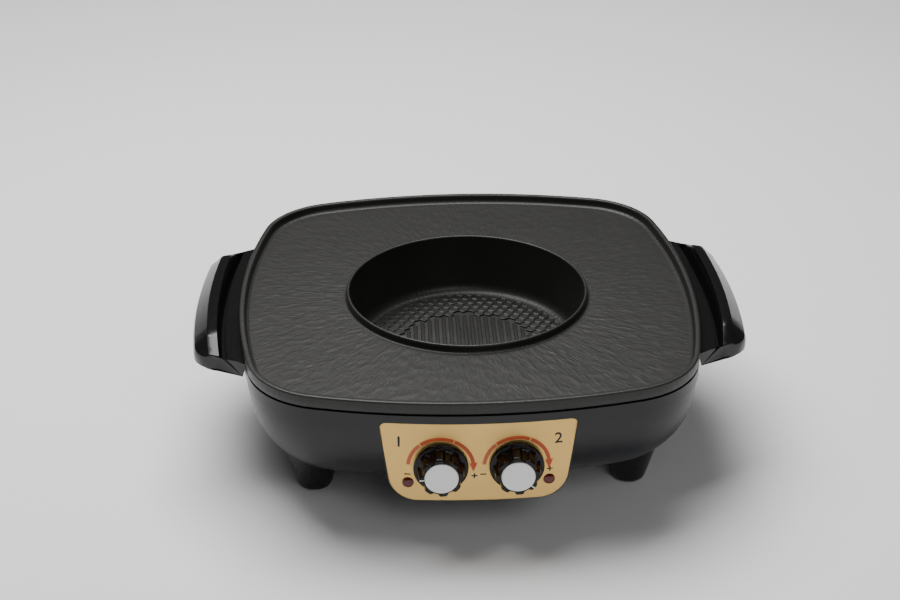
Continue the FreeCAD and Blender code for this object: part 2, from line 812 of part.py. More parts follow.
def make_thermostat(side_name, side):
    """Block with a bush for the dial's shaft, screwed behind the bracket."""
    body = new_body(side_name + "_thermostat")
    face = -(D["bracket_reach"] - D["bracket_thick"])
    half = D["thermostat_half"]
    case = sketch_on(body, "XY_Plane", -D["thermostat_deep"])
    polygon(case, [(-half, 4 - half), (4 - half, -half), (half - 4, -half), (half, 4 - half),
                   (half, half - 4), (half - 4, half), (4 - half, half), (-half, half - 4)])
    pad(body, case, D["thermostat_deep"])
    bush = sketch_on(body, "XY_Plane")
    circle(bush, 0, 0, D["bush_radius"])
    pad(body, bush, D["panel_reach"] - D["bracket_reach"])
    tags = sketch_on(body, "XY_Plane", -D["thermostat_deep"])
    for y in (-8, 8):
        rectangle(tags, -10, y - 0.4, -4, y + 0.4)
        rectangle(tags, 4, y - 0.4, 10, y + 0.4)
    pad(body, tags, D["thermostat_tag"], reverse=True)
    bore = sketch_on(body, "XY_Plane", D["panel_reach"] - D["bracket_reach"])
    circle(bore, 0, 0, D["shaft_radius"] + D["shaft_play"])
    pocket(body, bore, D["panel_reach"] - D["bracket_reach"] + 16)
    place(body, D["knob_across"] * side, face, D["knob_height"], FACING_FRONT)


def make_bracket():
    """Pressed steel plate that carries both thermostats behind the housing's front."""
    body = new_body("thermostat_bracket")
    outline = sketch_on(body, "XZ_Plane", D["bracket_reach"])
    rectangle(outline, -D["bracket_half"], D["bracket_low"], D["bracket_half"],
              D["bracket_high"])
    for side in (1, -1):
        circle(outline, D["knob_across"] * side, D["knob_height"],
               D["bush_radius"] + D["fit_gap"])
    for x, z in bracket_places():
        circle(outline, x, z, D["screw_radius"] + D["fit_gap"])
    pad(body, outline, D["bracket_thick"], reverse=True)
    lip = sketch_on(body, "XZ_Plane", D["bracket_reach"])
    rectangle(lip, -D["bracket_half"], D["bracket_high"], D["bracket_half"],
              D["bracket_high"] + D["bracket_thick"])
    pad(body, lip, 8, reverse=True)
    place(body)


def make_lamp(side_name, side):
    """Domed lens that shows through the panel, and the lamp body pushed on behind it."""
    across = D["lamp_across"] * side
    radius = D["panel_radius"]
    bow = radius - root(radius * radius - D["lamp_across"] * D["lamp_across"])
    face = -(D["panel_reach"] - bow)
    wall = D["panel_thick"] + D["shell_wall"] + 0.6
    lens = turned(side_name + "_lamp_lens", [
        (0, -wall), (D["lamp_radius"], -wall), (D["lamp_radius"], 0.5),
        (D["lamp_radius"] - 0.5, 1.1), (D["lamp_radius"] - 1.6, 1.5), (0, 1.6)])
    place(lens, across, face, D["lamp_height"], FACING_FRONT)
    back = wall + D["lamp_deep"]
    lamp = turned(side_name + "_lamp_body", [
        (0, -back), (2.5, -back), (D["lamp_radius"] + 0.6, -back + 4),
        (D["lamp_radius"] + 0.6, -wall), (0, -wall)])
    place(lamp, across, face, D["lamp_height"], FACING_FRONT)


def handle_plan(sketch, inset, back_x, back_half):
    """Plan of a handle: bowed outer edge and sides that spread towards the body."""
    inset, back_x, back_half = size(inset), size(back_x), size(back_half)
    radius = D["handle_radius"] - inset
    half = D["handle_half"] - inset
    centre = D["handle_reach"] - D["handle_radius"]
    corner_x = centre + root(radius * radius - half * half)
    swing = math.asin(half.number / radius.number)
    arc = arc_between(sketch, (centre.number, 0), radius.number, -swing, swing)
    corners = [((corner_x, half), (back_x, back_half)), ((back_x, back_half),
               (back_x, -back_half)), ((back_x, -back_half), (corner_x, -half))]
    for (x0, y0), (x1, y1) in corners:
        sketch.addGeometry(Part.LineSegment(Vector(x0.number, y0.number, 0),
                                            Vector(x1.number, y1.number, 0)), False)
    for geo in range(3):
        rule(sketch, "Coincident", arc + geo, 2, arc + geo + 1, 1)
    rule(sketch, "Coincident", arc + 3, 2, arc, 1)
    rule(sketch, "Radius", arc, value=radius)
    pin_point(sketch, arc, 3, centre, 0)
    rule(sketch, "DistanceY", arc, 2, value=half)
    rule(sketch, "DistanceY", arc, 1, value=-half)
    pin_point(sketch, arc + 1, 2, back_x, back_half)
    pin_point(sketch, arc + 2, 2, back_x, -back_half)
    return sketch


def make_handles():
    """Side handle: a flat shelf with a raised grip bar, hollow below; the left is its mirror."""
    body = new_body("right_handle")
    foot = rim_top - D["handle_thick"]
    bar_top = rim_top + D["bar_height"]
    root_x = D["plate_half"] - 20
    plan = handle_plan(sketch_on(body, "XY_Plane", foot), 0, root_x, D["handle_root_half"])
    block = pad(body, plan, bar_top - foot)
    rounded = round_edges(body, block, D["handle_corner"], lambda edge: (
        upright_edge(5)(edge) and edge.BoundBox.Center.x > D["plate_half"].number))
    behind = sketch_on(body, "XY_Plane", bar_top)
    circle(behind, D["plate_half"] - D["side_radius"], 0, D["side_radius"] + D["bar_inset"])
    pocket(body, behind, D["bar_height"])
    ends = sketch_on(body, "YZ_Plane", root_x)
    for side in (1, -1):
        polygon(ends, [(D["bar_foot_half"] * side, rim_top), (D["bar_top_half"] * side, bar_top),
                       (D["bar_top_half"] * side, bar_top + 5), (130 * side, bar_top + 5),
                       (130 * side, rim_top)])
    pocket(body, ends, 90, reverse=True)
    bevel = sketch_on(body, "XZ_Plane")
    low = bar_top - D["bevel_height"]
    past = D["handle_reach"] + 5
    polygon(bevel, [(D["bar_ridge"], bar_top), (D["handle_reach"], low), (past, low),
                    (past, bar_top + 1), (D["bar_ridge"], bar_top + 1)])
    centre = D["handle_reach"] - D["handle_radius"]
    axis = bevel.addGeometry(Part.LineSegment(Vector(centre.number, 0, 0),
                                              Vector(centre.number, 10, 0)), True)
    pin_point(bevel, axis, 1, centre, 0)
    pin_point(bevel, axis, 2, centre, 10)
    slope = body.newObject("PartDesign::Groove", "Bevel")
    slope.Profile = bevel
    slope.ReferenceAxis = (bevel, ["Axis0"])
    slope.Angle = 360
    seat = plate_outline(sketch_on(body, "XY_Plane", foot), -D["fit_gap"])
    pocket(body, seat, bar_top - foot + 1, reverse=True)
    hollow = sketch_on(body, "XY_Plane", foot)
    handle_plan(hollow, D["handle_wall"] + 2, D["plate_half"] + 9, D["handle_half"] - 10)
    pocket(body, hollow, D["handle_thick"] - D["handle_wall"], reverse=True)
    bores = sketch_on(body, "YZ_Plane", root_x)
    for y, z in handle_places():
        circle(bores, y, z, D["screw_radius"])
    pocket(body, bores, D["plate_half"] + 6 - root_x, reverse=True)
    place(body)
    mirror = keep(doc.addObject("Part::Mirroring", "left_handle_mirror"), "left_handle")
    mirror.Source = body
    mirror.Normal = Vector(1, 0, 0)


def make_feet():
    """Tapered feet whose tops are cut to the bowl, each with a rubber pad let in below."""
    form = doc.addObject("PartDesign::Body", "bowl_form")
    add_loft(form, 0, D["foot_height"])
    place(form)
    names = ("rear_right", "rear_left", "front_left", "front_right")
    tall = D["foot_height"] + 20
    share = (tall - D["pad_proud"]) / (D["foot_height"] - D["pad_proud"])
    signs = four_ways(1)
    for name, (side, end) in zip(names, signs):
        x, y = D["foot_across"] * side, D["foot_back"] * end
        post = doc.addObject("PartDesign::Body", name + "_post")
        radius, low, bore = D["foot_radius"], D["pad_proud"], D["screw_radius"]
        recess = D["pad_radius"] + D["fit_gap"]
        sketch = sketch_on(post, "XZ_Plane")
        polygon(sketch, [
            (0, D["pad_thick"]), (recess, D["pad_thick"]), (recess, low),
            (radius - 3, low), (radius - 1, low + 0.8), (radius, low + 3),
            (radius + (D["foot_top_radius"] - radius) * share, tall), (bore, tall),
            (bore, D["foot_height"] - 12), (0, D["foot_height"] - 12)])
        revolve(post, sketch)
        place(post, x, y)
        foot = keep(doc.addObject("Part::Cut", name + "_cut"), name + "_foot")
        foot.Base = post
        foot.Tool = form
        pad_piece = turned(name + "_foot_pad", [
            (0, 0), (D["pad_radius"] - 0.8, 0), (D["pad_radius"], 0.8),
            (D["pad_radius"], D["pad_thick"]), (0, D["pad_thick"])])
        place(pad_piece, x, y)


def make_heater(label, ring_radius, height, half, reach, bend=10.0):
    """Tubular heater bent into a ring, its two cold ends brought out to the front."""
    body = new_body(label)
    ring, reach, half, bend = ring_radius, size(reach), size(half), size(bend)
    spine = sketch_on(body, "XY_Plane", height)
    bend_x = half + bend
    bend_y = -root((ring + bend) * (ring + bend) - bend_x * bend_x)
    toward = math.atan2(-bend_y.number, -bend_x.number)
    meet = math.atan2(bend_y.number, bend_x.number)

    def line(x0, y0, x1, y1):
        return spine.addGeometry(Part.LineSegment(Vector(x0, y0, 0), Vector(x1, y1, 0)), False)
    right_leg = line(half.number, -reach.number, half.number, bend_y.number)
    right_bend = arc_between(spine, (bend_x.number, bend_y.number), bend.number, toward,
                             math.pi)
    big = arc_between(spine, (0, 0), ring.number, meet, math.pi - meet)
    left_bend = arc_between(spine, (-bend_x.number, bend_y.number), bend.number, 0,
                            math.pi - toward)
    left_leg = line(-half.number, bend_y.number, -half.number, -reach.number)
    rule(spine, "Tangent", right_leg, 2, right_bend, 2)
    rule(spine, "Tangent", right_bend, 1, big, 1)
    rule(spine, "Tangent", big, 2, left_bend, 2)
    rule(spine, "Tangent", left_bend, 1, left_leg, 1)
    pin_point(spine, big, 3, 0, 0)
    rule(spine, "Radius", big, value=ring)
    rule(spine, "Radius", right_bend, value=bend)
    rule(spine, "Radius", left_bend, value=bend)
    pin_point(spine, right_leg, 1, half, -reach)
    pin_point(spine, left_leg, 2, -half, -reach)
    rule(spine, "Vertical", right_leg)
    rule(spine, "Vertical", left_leg)
    section = sketch_on(body, "XZ_Plane", reach)
    circle(section, half, height, D["tube_radius"])
    pipe = body.newObject("PartDesign::AdditivePipe", "Tube")
    pipe.Profile = section
    pipe.Spine = (spine, [])
    place(body)
    return body


def make_shield():
    """Pressed tray that keeps the heat of both rings off the bowl."""
    thick = D["shield_thick"]
    inner = D["shield_radius"] - thick
    body = turned("heat_shield", [
        (0, D["shield_floor"]), (D["shield_radius"], D["shield_floor"]),
        (D["shield_radius"], D["shield_top"] - thick),
        (D["shield_flange"], D["shield_top"] - thick), (D["shield_flange"], D["shield_top"]),
        (inner, D["shield_top"]), (inner, D["shield_floor"] + thick),
        (0, D["shield_floor"] + thick)])
    window = sketch_on(body, "XZ_Plane", D["shield_radius"] + 5)
    middle = well_base - D["tube_radius"]
    rectangle(window, -24, middle - 7, 24, middle + 7)
    pocket(body, window, 30)
    holes = sketch_on(body, "XY_Plane", D["shield_top"])
    for x, y in four_ways(D["post_across"]):
        circle(holes, x, y, D["screw_radius"] + D["fit_gap"])
    pocket(body, holes, 5)
    place(body)


def make_cover():
    """Vented cover over the opening in the bowl's floor."""
    body = new_body("bottom_cover")
    low = D["foot_height"] - D["cover_thick"]
    disc = sketch_on(body, "XY_Plane", low)
    circle(disc, 0, 0, D["cover_radius"])
    for x, y in cover_places():
        circle(disc, x, y, D["screw_radius"] + D["fit_gap"])
    pad(body, disc, D["cover_thick"])
    vent = sketch_on(body, "XY_Plane", low)
    start = D["vent_pitch"] * -4.5
    for side in (1, -1):
        near, far = size(10 * side), size(10 * side) + D["vent_length"] * side
        rectangle(vent, start - D["vent_width"] / 2, near, start + D["vent_width"] / 2, far)
    slot = pocket(body, vent, D["cover_thick"], reverse=True)
    row = body.newObject("PartDesign::LinearPattern", "Vents")
    row.Originals = [slot]
    row.Direction = (vent, ["H_Axis"])
    bind(row, "Length", D["vent_pitch"] * 9)
    row.Occurrences = 10
    body.Tip = row
    place(body)


def make_inlet():
    """Appliance inlet: flange on the rear flat, socket body inside, and three pins."""
    body = new_body("power_inlet")
    out = D["inlet_reach"] + 3
    flange = sketch_on(body, "XZ_Plane", -out)
    z = D["inlet_height"]
    half = D["inlet_half"]
    polygon(flange, [(-half, z - 8), (8 - half, z - 14), (half - 8, z - 14), (half, z - 8),
                     (half, z + 8), (half - 8, z + 14), (8 - half, z + 14), (-half, z + 8)])
    pad(body, flange, 3)
    core = sketch_on(body, "XZ_Plane", -D["inlet_reach"])
    wide, tall = D["inlet_socket_half"], D["inlet_socket_tall"]
    rectangle(core, -wide, z - tall, wide, z + tall)
    pad(body, core, D["inlet_deep"])
    mouth = sketch_on(body, "XZ_Plane", -out)
    inner, rise = wide - 1.7, tall - 1.7
    polygon(mouth, [(-inner, z - rise), (inner, z - rise), (inner, z + rise - 5),
                    (inner - 5, z + rise), (5 - inner, z + rise), (-inner, z + rise - 5)])
    pocket(body, mouth, D["inlet_deep"], reverse=True)
    holes = sketch_on(body, "XZ_Plane", -out)
    for x, height in inlet_places():
        circle(holes, x, height, D["screw_radius"] + D["fit_gap"])
    pocket(body, holes, 5, reverse=True)
    place(body)
    pins = new_body("inlet_pins")
    pins.AllowCompound = True
    blades = sketch_on(pins, "XZ_Plane", -(out - 5))
    for x, height in ((-7, z - 2), (7, z - 2), (0, z + 3)):
        rectangle(blades, size(x) - 1, height - 2, size(x) + 1, height + 2)
    pad(pins, blades, D["inlet_deep"] + 3 + 4)
    place(pins)
    slots = sketch_on(body, "XZ_Plane", -(out - 5))
    for x, height in ((-7, z - 2), (7, z - 2), (0, z + 3)):
        rectangle(slots, size(x) - 1, height - 2, size(x) + 1, height + 2)
    pocket(body, slots, D["inlet_deep"] + 8, reverse=True)


def make_screws(label, length, places, turn=None):
    """A group of like screws: each a head and a shank, at its own place."""
    screws = []
    for index, (x, y, z) in enumerate(places):
        screw = doc.addObject("PartDesign::Body", f"{label}_{index}")
        profile = sketch_on(screw, "XZ_Plane")
        head = D["screw_head_thick"]
        polygon(profile, [(0, -head), (D["screw_head"] - 0.6, -head),
                          (D["screw_head"], 0.6 - head), (D["screw_head"], 0),
                          (D["screw_radius"], 0), (D["screw_radius"], length), (0, length)])
        revolve(screw, profile)
        place(screw, x, y, z, turn(x, y, z) if turn else None)
        screws.append(screw)
    group = keep(doc.addObject("Part::Compound", label + "_group"), label)
    group.Links = screws


def make_fasteners():
    """All the screws that hold the cooker together."""
    head_seat = D["shield_top"] - 12
    make_screws("pan_screws", size(22), [(x, y, head_seat)
                                         for x, y in four_ways(D["post_across"])])
    low = D["foot_height"] - D["cover_thick"]
    make_screws("cover_screws", D["cover_thick"] + 6, [(x, y, low) for x, y in cover_places()])
    floor = D["foot_height"] + D["shell_wall"]
    make_screws("foot_screws", D["shell_wall"] + 9, [
        (x, y, floor) for x, y in four_ways(D["foot_across"], D["foot_back"])],
        lambda x, y, z: Rotation(Vector(1, 0, 0), 180))
    back_face = -(D["bracket_reach"] - D["bracket_thick"])
    make_screws("bracket_screws", D["bracket_thick"] + 3, [
        (x, back_face, z) for x, z in bracket_places()], lambda x, y, z: FACING_FRONT)
    make_screws("inlet_screws", size(9), [
        (x, D["inlet_reach"] + 3, z) for x, z in inlet_places()], lambda x, y, z: FACING_FRONT)
    wall = D["shell_wall"] + D["band_step"]
    reach = root(D["side_radius"] * D["side_radius"] - 52 * 52) - D["side_radius"] + \
        D["plate_half"] - wall - 0.5
    sides = [(reach * side, y, z) for side in (1, -1) for y, z in handle_places()]
    make_screws("handle_screws", wall + 5, sides, lambda x, y, z: Rotation(
        Vector(0, 1, 0), 90 if x.number > 0 else -90))


def make_clamps(label, ring_radius, base, count):
    """Straps that hold a ring heater up against the casting, spaced round the ring."""
    body = new_body(label)
    body.AllowCompound = True
    thick, half = D["clamp_thick"], D["tube_radius"] + 0.15
    low = base - D["tube_radius"] * 2 - 0.15
    outer = half + thick
    strap = sketch_on(body, "XZ_Plane", D["clamp_wide"] / -2)
    centre = ring_radius
    polygon(strap, [
        (centre - outer - 5, base), (centre - outer - 5, base - thick),
        (centre - outer, base - thick), (centre - outer, low - thick),
        (centre + outer, low - thick), (centre + outer, base - thick),
        (centre + outer + 5, base - thick), (centre + outer + 5, base), (centre + half, base),
        (centre + half, low), (centre - half, low), (centre - half, base)])
    one = pad(body, strap, D["clamp_wide"])
    ring = body.newObject("PartDesign::PolarPattern", "Ring")
    ring.Originals = [one]
    upright = next(f for f in body.Origin.OriginFeatures if f.Role == "Z_Axis")
    ring.Axis = (upright, [""])
    ring.Angle = 360
    ring.Occurrences = count
    body.Tip = ring
    place(body)


def wire_path(points, bend):
    """Straight runs through the points, joined by round bends."""
    edges = []
    here = points[0]
    for before, corner, after in zip(points, points[1:], points[2:]):
        back = (before - corner).normalize()
        ahead = (after - corner).normalize()
        half = back.getAngle(ahead) / 2
        reach = bend / math.tan(half)
        start, end = corner + back * reach, corner + ahead * reach
        middle = corner + (back + ahead).normalize() * (bend / math.sin(half) - bend)
        edges.append(Part.LineSegment(here, start).toShape())
        edges.append(Part.Arc(start, middle, end).toShape())
        here = end
    edges.append(Part.LineSegment(here, points[-1]).toShape())
    return Part.Wire(edges)


def make_wiring():
    """Insulated leads from the inlet to the terminal block, the thermostats and the rings."""
    floor = (D["foot_height"] + D["shell_wall"]).number
    radius = D["wire_radius"].number
    block_top = floor + 15
    lift = floor + radius + 0.3
    tags = -(D["bracket_reach"] - D["bracket_thick"] - D["thermostat_deep"]
             - D["thermostat_tag"]).number
    clear = tags + 7
    pins = (D["inlet_reach"] - D["inlet_deep"] - 9).number
    pin_z = D["inlet_height"].number - 2
    knob_x = D["knob_across"].number
    dial_z = D["knob_height"].number
    ring_z = (well_base - D["tube_radius"]).number
    grill_z = (plate_base - D["tube_radius"]).number
    routes = [
        [(-7, pins, pin_z), (-7, 148, pin_z), (-53, 148, pin_z), (-53, 148, block_top + 4),
         (-53, 125, block_top + 4), (-53, 125, block_top - 6)],
        [(7, pins, pin_z), (7, 139, pin_z), (-64, 139, pin_z), (-64, 125, pin_z),
         (-64, 125, block_top - 6)],
        [(-64, 119, block_top - 6), (-64, 119, block_top + 8), (-118, 119, block_top + 8),
         (-118, 40, lift + 6), (-118, -60, lift + 6), (-110, -115, 62),
         (-knob_x - 7, clear, dial_z - 8), (-knob_x - 7, tags, dial_z - 8)],
        [(-53, 119, block_top - 6), (-53, 119, block_top + 12), (-124, 119, block_top + 12),
         (-124, 40, lift + 14), (-124, -60, lift + 14), (-116, -122, 68),
         (-70, clear, dial_z + 12), (knob_x - 7, clear, dial_z + 8),
         (knob_x - 7, tags, dial_z + 8)],
        [(-14, -128, ring_z), (-14, clear, ring_z), (-knob_x + 7, clear, dial_z - 8),
         (-knob_x + 7, tags, dial_z - 8)],
        [(22, -166, grill_z), (22, -172, grill_z), (22, -172, 104), (knob_x + 7, -138, 104),
         (knob_x + 7, clear, dial_z + 8), (knob_x + 7, tags, dial_z + 8)],
    ]
    leads = []
    for route in routes:
        points = [Vector(*point) for point in route]
        path = wire_path(points, 2.5)
        start = Part.Circle(points[0], points[1] - points[0], radius).toShape()
        lead = path.makePipeShell([Part.Wire(start)], True, False)
        leads.append(lead)
    wiring = keep(doc.addObject("Part::Feature", "wiring_leads"), "wiring")
    wiring.Shape = Part.makeCompound(leads)
    place(wiring)


def make_electrics():
    """Terminal block, thermal fuse with its clip, and the clamps of the pot's heater."""
    floor = D["foot_height"] + D["shell_wall"]
    block = new_body("terminal_block")
    plan = sketch_on(block, "XY_Plane", floor)
    rectangle(plan, -70, 114, -36, 130)
    pad(block, plan, 15)
    wells = sketch_on(block, "XY_Plane", floor + 15)
    for x in (-64, -53, -42):
        circle(wells, x, 119, 2.2)
        circle(wells, x, 125, 2.2)
    pocket(block, wells, 8)
    place(block)
    barrel = turned("thermal_fuse", [(0, 0), (1.9, 0), (1.9, 12), (0.5, 14), (0.5, 24), (0, 24)])
    place(barrel, 12, 0, well_base - 1.9, Rotation(Vector(0, 1, 0), -90))
    clip = new_body("fuse_clip")
    strap = sketch_on(clip, "XZ_Plane", 4)
    low = well_base - 3.8 - 0.8
    polygon(strap, [(-2, low), (16, low), (16, well_base), (14.5, well_base), (14.5, low + 0.8),
                    (-2, low + 0.8)])
    pad(clip, strap, 8, reverse=True)
    place(clip)


make_grill_pan()
make_body_shell()
make_control_panel()
make_knob("left", -1, DIMENSIONS["left_pointer_angle"] - 180)
make_knob("right", 1, DIMENSIONS["right_pointer_angle"] - 180)
for side_name, side in (("left", -1), ("right", 1)):
    make_thermostat(side_name, side)
    make_lamp(side_name, side)
make_bracket()
make_handles()
make_feet()
make_heater("pot_heater", D["pot_ring_radius"], well_base - D["tube_radius"], 14, 128)
make_heater("grill_heater", D["grill_ring_radius"], plate_base - D["tube_radius"], 22, 166)
make_clamps("pot_heater_clamps", D["pot_ring_radius"], well_base, 3)
make_clamps("grill_heater_clamps", D["grill_ring_radius"], plate_base, 6)
make_shield()
make_cover()
make_inlet()
make_electrics()
make_wiring()
make_fasteners()
doc.recompute()

problems = []
for item in doc.Objects:
    if "Invalid" in item.State or "Error" in item.State:
        problems.append(f"{item.Label} ({item.Name}) did not build")
for piece in pieces:
    if piece.Shape.isNull() or not piece.Shape.isValid():
        problems.append(f"{piece.Label} has no sound shape")
if problems:
    raise RuntimeError("; ".join(problems))
for piece in pieces:
    piece.Shape.exportStep(os.path.join("parts", piece.Label + ".step"))
print(len(pieces), "pieces written")
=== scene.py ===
"""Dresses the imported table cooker: cast plate, well relief, handles, knobs, prints, finishes."""
import json
import math

import bmesh
import bpy
from mathutils import Matrix, Vector, noise


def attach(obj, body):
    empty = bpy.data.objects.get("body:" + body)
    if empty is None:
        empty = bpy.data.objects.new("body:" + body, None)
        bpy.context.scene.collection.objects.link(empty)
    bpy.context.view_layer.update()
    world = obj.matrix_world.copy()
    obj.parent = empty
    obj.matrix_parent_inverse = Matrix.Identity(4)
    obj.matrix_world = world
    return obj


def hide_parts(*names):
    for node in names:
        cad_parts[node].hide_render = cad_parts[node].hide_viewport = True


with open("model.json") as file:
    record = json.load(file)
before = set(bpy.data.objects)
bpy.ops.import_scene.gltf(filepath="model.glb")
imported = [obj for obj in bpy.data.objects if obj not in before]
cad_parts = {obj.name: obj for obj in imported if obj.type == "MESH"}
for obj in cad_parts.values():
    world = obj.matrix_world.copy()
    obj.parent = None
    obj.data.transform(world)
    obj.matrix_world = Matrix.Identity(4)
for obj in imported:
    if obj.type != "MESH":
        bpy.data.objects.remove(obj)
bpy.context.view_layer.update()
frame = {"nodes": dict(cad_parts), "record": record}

bl_info = {
    "name": "Table cooker with a pot well",
    "version": (1, 0, 0),
    "blender": (4, 5, 0),
    "location": "View3D > Sidebar > Cooker",
    "description": "Builds the cast plate, the relief in its well, the panel's prints, "
                   "the finishes and the studio round the packed cooker",
    "category": "Object",
}

MM = 0.001
# The well's axis stands this far, in millimetres, behind the middle of the cooker's box
AXIS_BACK = 7.15
# Heights above the table in millimetres
HEIGHTS = {"well_floor": 77.0, "well_base": 73.0, "handle_base": 109.4, "plate_base": 122.3,
           "field": 125.7, "collar": 132.3, "lip": 133.2}
# Radius, in millimetres, at which the strokes round the well have their given width
STROKE_RADIUS = 150
# The knobs' backs, in millimetres forward of the well's axis
KNOB_SEAT = 187.8
# Each knob's side of the middle, and the way it points at rest in degrees
DIALS = (("left", -1, 185), ("right", 1, -40))


def length(name, description, default):
    """A size in millimetres shown as a length."""
    return bpy.props.FloatProperty(name=name, description=description, default=default * MM,
                                   unit="LENGTH", subtype="DISTANCE")


def linear(text):
    """Turns an sRGB hex colour to the linear values that shaders take."""
    parts = [int(text[start:start + 2], 16) / 255 for start in (1, 3, 5)]
    return [part / 12.92 if part <= 0.04045 else ((part + 0.055) / 1.055) ** 2.4
            for part in parts]


def colour(name, description, text):
    """A colour that a user would change, given as sRGB hex."""
    return bpy.props.FloatVectorProperty(name=name, description=description, size=3,
                                         subtype="COLOR", min=0, max=1, default=linear(text))


class CookerPlate(bpy.types.PropertyGroup):
    """Sizes of the cast plate and its well."""
    half: length("Half width", "From the well's axis to the middle of a side", 190)
    side_bow: length("Side bow", "Radius of the left and right edges", 552)
    front_bow: length("Front bow", "Radius of the front and back edges", 506)
    corner: length("Corner", "Radius of the plate's corners", 70)
    well: length("Well radius", "Inside radius of the well near its floor", 97)
    hammer_depth: length("Hammer depth", "Depth of the hammered dimples", 0.36)
    hammer_across: length("Hammer width", "Width of a dimple across the strokes", 5.2)
    hammer_along: length("Hammer length", "Length of a dimple along the strokes", 9.5)
    rib_pitch: length("Rib pitch", "Distance between the ribs on the well's floor", 6.2)
    rib_zone: length("Rib zone", "Radius of the ribbed middle of the well's floor", 56)
    cell_pitch: length("Cell pitch", "Distance between the six-sided cells", 8.8)


class CookerPanel(bpy.types.PropertyGroup):
    """Sizes of the prints on the control panel."""
    reach: length("Reach", "From the well's axis forward to the panel's face", 187)
    bow: length("Bow", "Radius of the panel's bowed face", 525)
    knob_across: length("Knob offset", "From the middle to each knob", 28.9)
    knob_height: length("Knob height", "Height of the knobs above the table", 76)
    arc_inner: length("Arc inner radius", "Inner radius of the printed arcs", 23.3)
    arc_outer: length("Arc outer radius", "Outer radius of the printed arcs", 26.3)


class CookerHandle(bpy.types.PropertyGroup):
    """Sizes of the side handles."""
    reach: length("Reach", "From the well's axis to the handle's outer edge", 228.4)
    half: length("Outer half length", "Half the handle's length at its outer edge", 91)
    root_half: length("Root half length", "Half the handle's length at the body", 106)
    bow: length("Bow", "Radius of the outer edge", 560)
    corner: length("Corner", "Radius of the outer corners", 19)


class CookerColours(bpy.types.PropertyGroup):
    """Colours of the finishes."""
    coating: colour("Plate coating", "Non-stick coat on the casting", "#222220")
    body: colour("Body", "Moulded body", "#121317")
    handle: colour("Handles", "Polished phenolic", "#0F0F10")
    panel: colour("Panel", "Champagne anodised aluminium", "#E2BC72")
    knob: colour("Knobs", "Dark brown phenolic", "#0D0705")
    print_light: colour("Print, light", "Outer ends of the printed arcs", "#D4693F")
    print_deep: colour("Print, deep", "Middle of the printed arcs", "#CC4F1C")


def sizes():
    """The plate's sizes."""
    return bpy.context.scene.cooker_plate


def panel_sizes():
    """The panel's sizes."""
    return bpy.context.scene.cooker_panel


def handle_sizes():
    """The handles' sizes."""
    return bpy.context.scene.cooker_handle


def clear_selection():
    """Leaves nothing selected, in object mode."""
    if bpy.context.object and bpy.context.object.mode != "OBJECT":
        bpy.ops.object.mode_set(mode="OBJECT")
    bpy.ops.object.select_all(action="DESELECT")


def pick(*pieces):
    """Selects these pieces alone, the first of them active."""
    clear_selection()
    for piece in pieces:
        piece.select_set(True)
    bpy.context.view_layer.objects.active = pieces[0]


def smooth(piece, angle):
    """Smooth shading that keeps edges sharper than the angle."""
    pick(piece)
    bpy.ops.object.shade_smooth_by_angle(angle=math.radians(angle))


def apply_modifier(piece, kind, **settings):
    """Adds a modifier with its settings and applies it."""
    pick(piece)
    modifier = piece.modifiers.new(kind.title(), kind)
    for key, value in settings.items():
        setattr(modifier, key, value)
    bpy.ops.object.modifier_apply(modifier=modifier.name)


def face_outwards(piece):
    """Turns every face of a closed piece outwards."""
    pick(piece)
    bpy.ops.object.mode_set(mode="EDIT")
    bpy.ops.mesh.select_all(action="SELECT")
    bpy.ops.mesh.normals_make_consistent(inside=False)
    bpy.ops.object.mode_set(mode="OBJECT")


def copy_with_mesh(piece):
    """A copy of a piece with a mesh of its own."""
    twin = piece.copy()
    twin.data = piece.data.copy()
    bpy.context.collection.objects.link(twin)
    return twin


def joined(pieces):
    """Joins pieces to one mesh whose object sits at the origin."""
    pick(*pieces)
    bpy.ops.object.join()
    bpy.ops.object.transform_apply(location=True, rotation=True, scale=True)
    return bpy.context.object


def settle(piece, name, material, body="base"):
    """Names a finished piece, gives it its finish and lets it ride on its body.

    A print has no slot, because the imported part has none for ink.
    """
    piece.name = name
    piece.data.name = name
    piece.data.materials.clear()
    piece.data.materials.append(material)
    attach(piece, body)


def crossing(centre, radius, direction):
    """How far out a ray from the origin leaves a circle."""
    along = centre.dot(direction)
    return along + math.sqrt(max(along * along - centre.dot(centre) + radius * radius, 0))


def plate_corner():
    """Centre of a corner's arc, which touches both bowed edges from inside."""
    plate = sizes()
    side = Vector((plate.half - plate.side_bow, 0))
    front = Vector((0, plate.half - plate.front_bow))
    side_reach = plate.side_bow - plate.corner
    front_reach = plate.front_bow - plate.corner
    gap = front - side
    apart = gap.length
    along = (side_reach ** 2 - front_reach ** 2 + apart ** 2) / (2 * apart)
    away = math.sqrt(side_reach ** 2 - along ** 2)
    unit = gap / apart
    normal = Vector((-unit.y, unit.x))
    spots = [side + unit * along + normal * away, side + unit * along - normal * away]
    return side, front, max(spots, key=lambda spot: spot.x + spot.y)


def outline_reach(angle, inset):
    """How far the plate's outline stands from the axis at an angle, drawn in by an inset."""
    plate = sizes()
    side, front, corner = plate_corner()
    direction = Vector((abs(math.cos(angle)), abs(math.sin(angle))))
    side_touch = side + (corner - side).normalized() * (plate.side_bow - inset)
    front_touch = front + (corner - front).normalized() * (plate.front_bow - inset)
    lean = math.atan2(direction.y, direction.x)
    if lean <= math.atan2(side_touch.y, side_touch.x):
        return crossing(side, plate.side_bow - inset, direction)
    if lean >= math.atan2(front_touch.y, front_touch.x):
        return crossing(front, plate.front_bow - inset, direction)
    return crossing(corner, plate.corner - inset, direction)


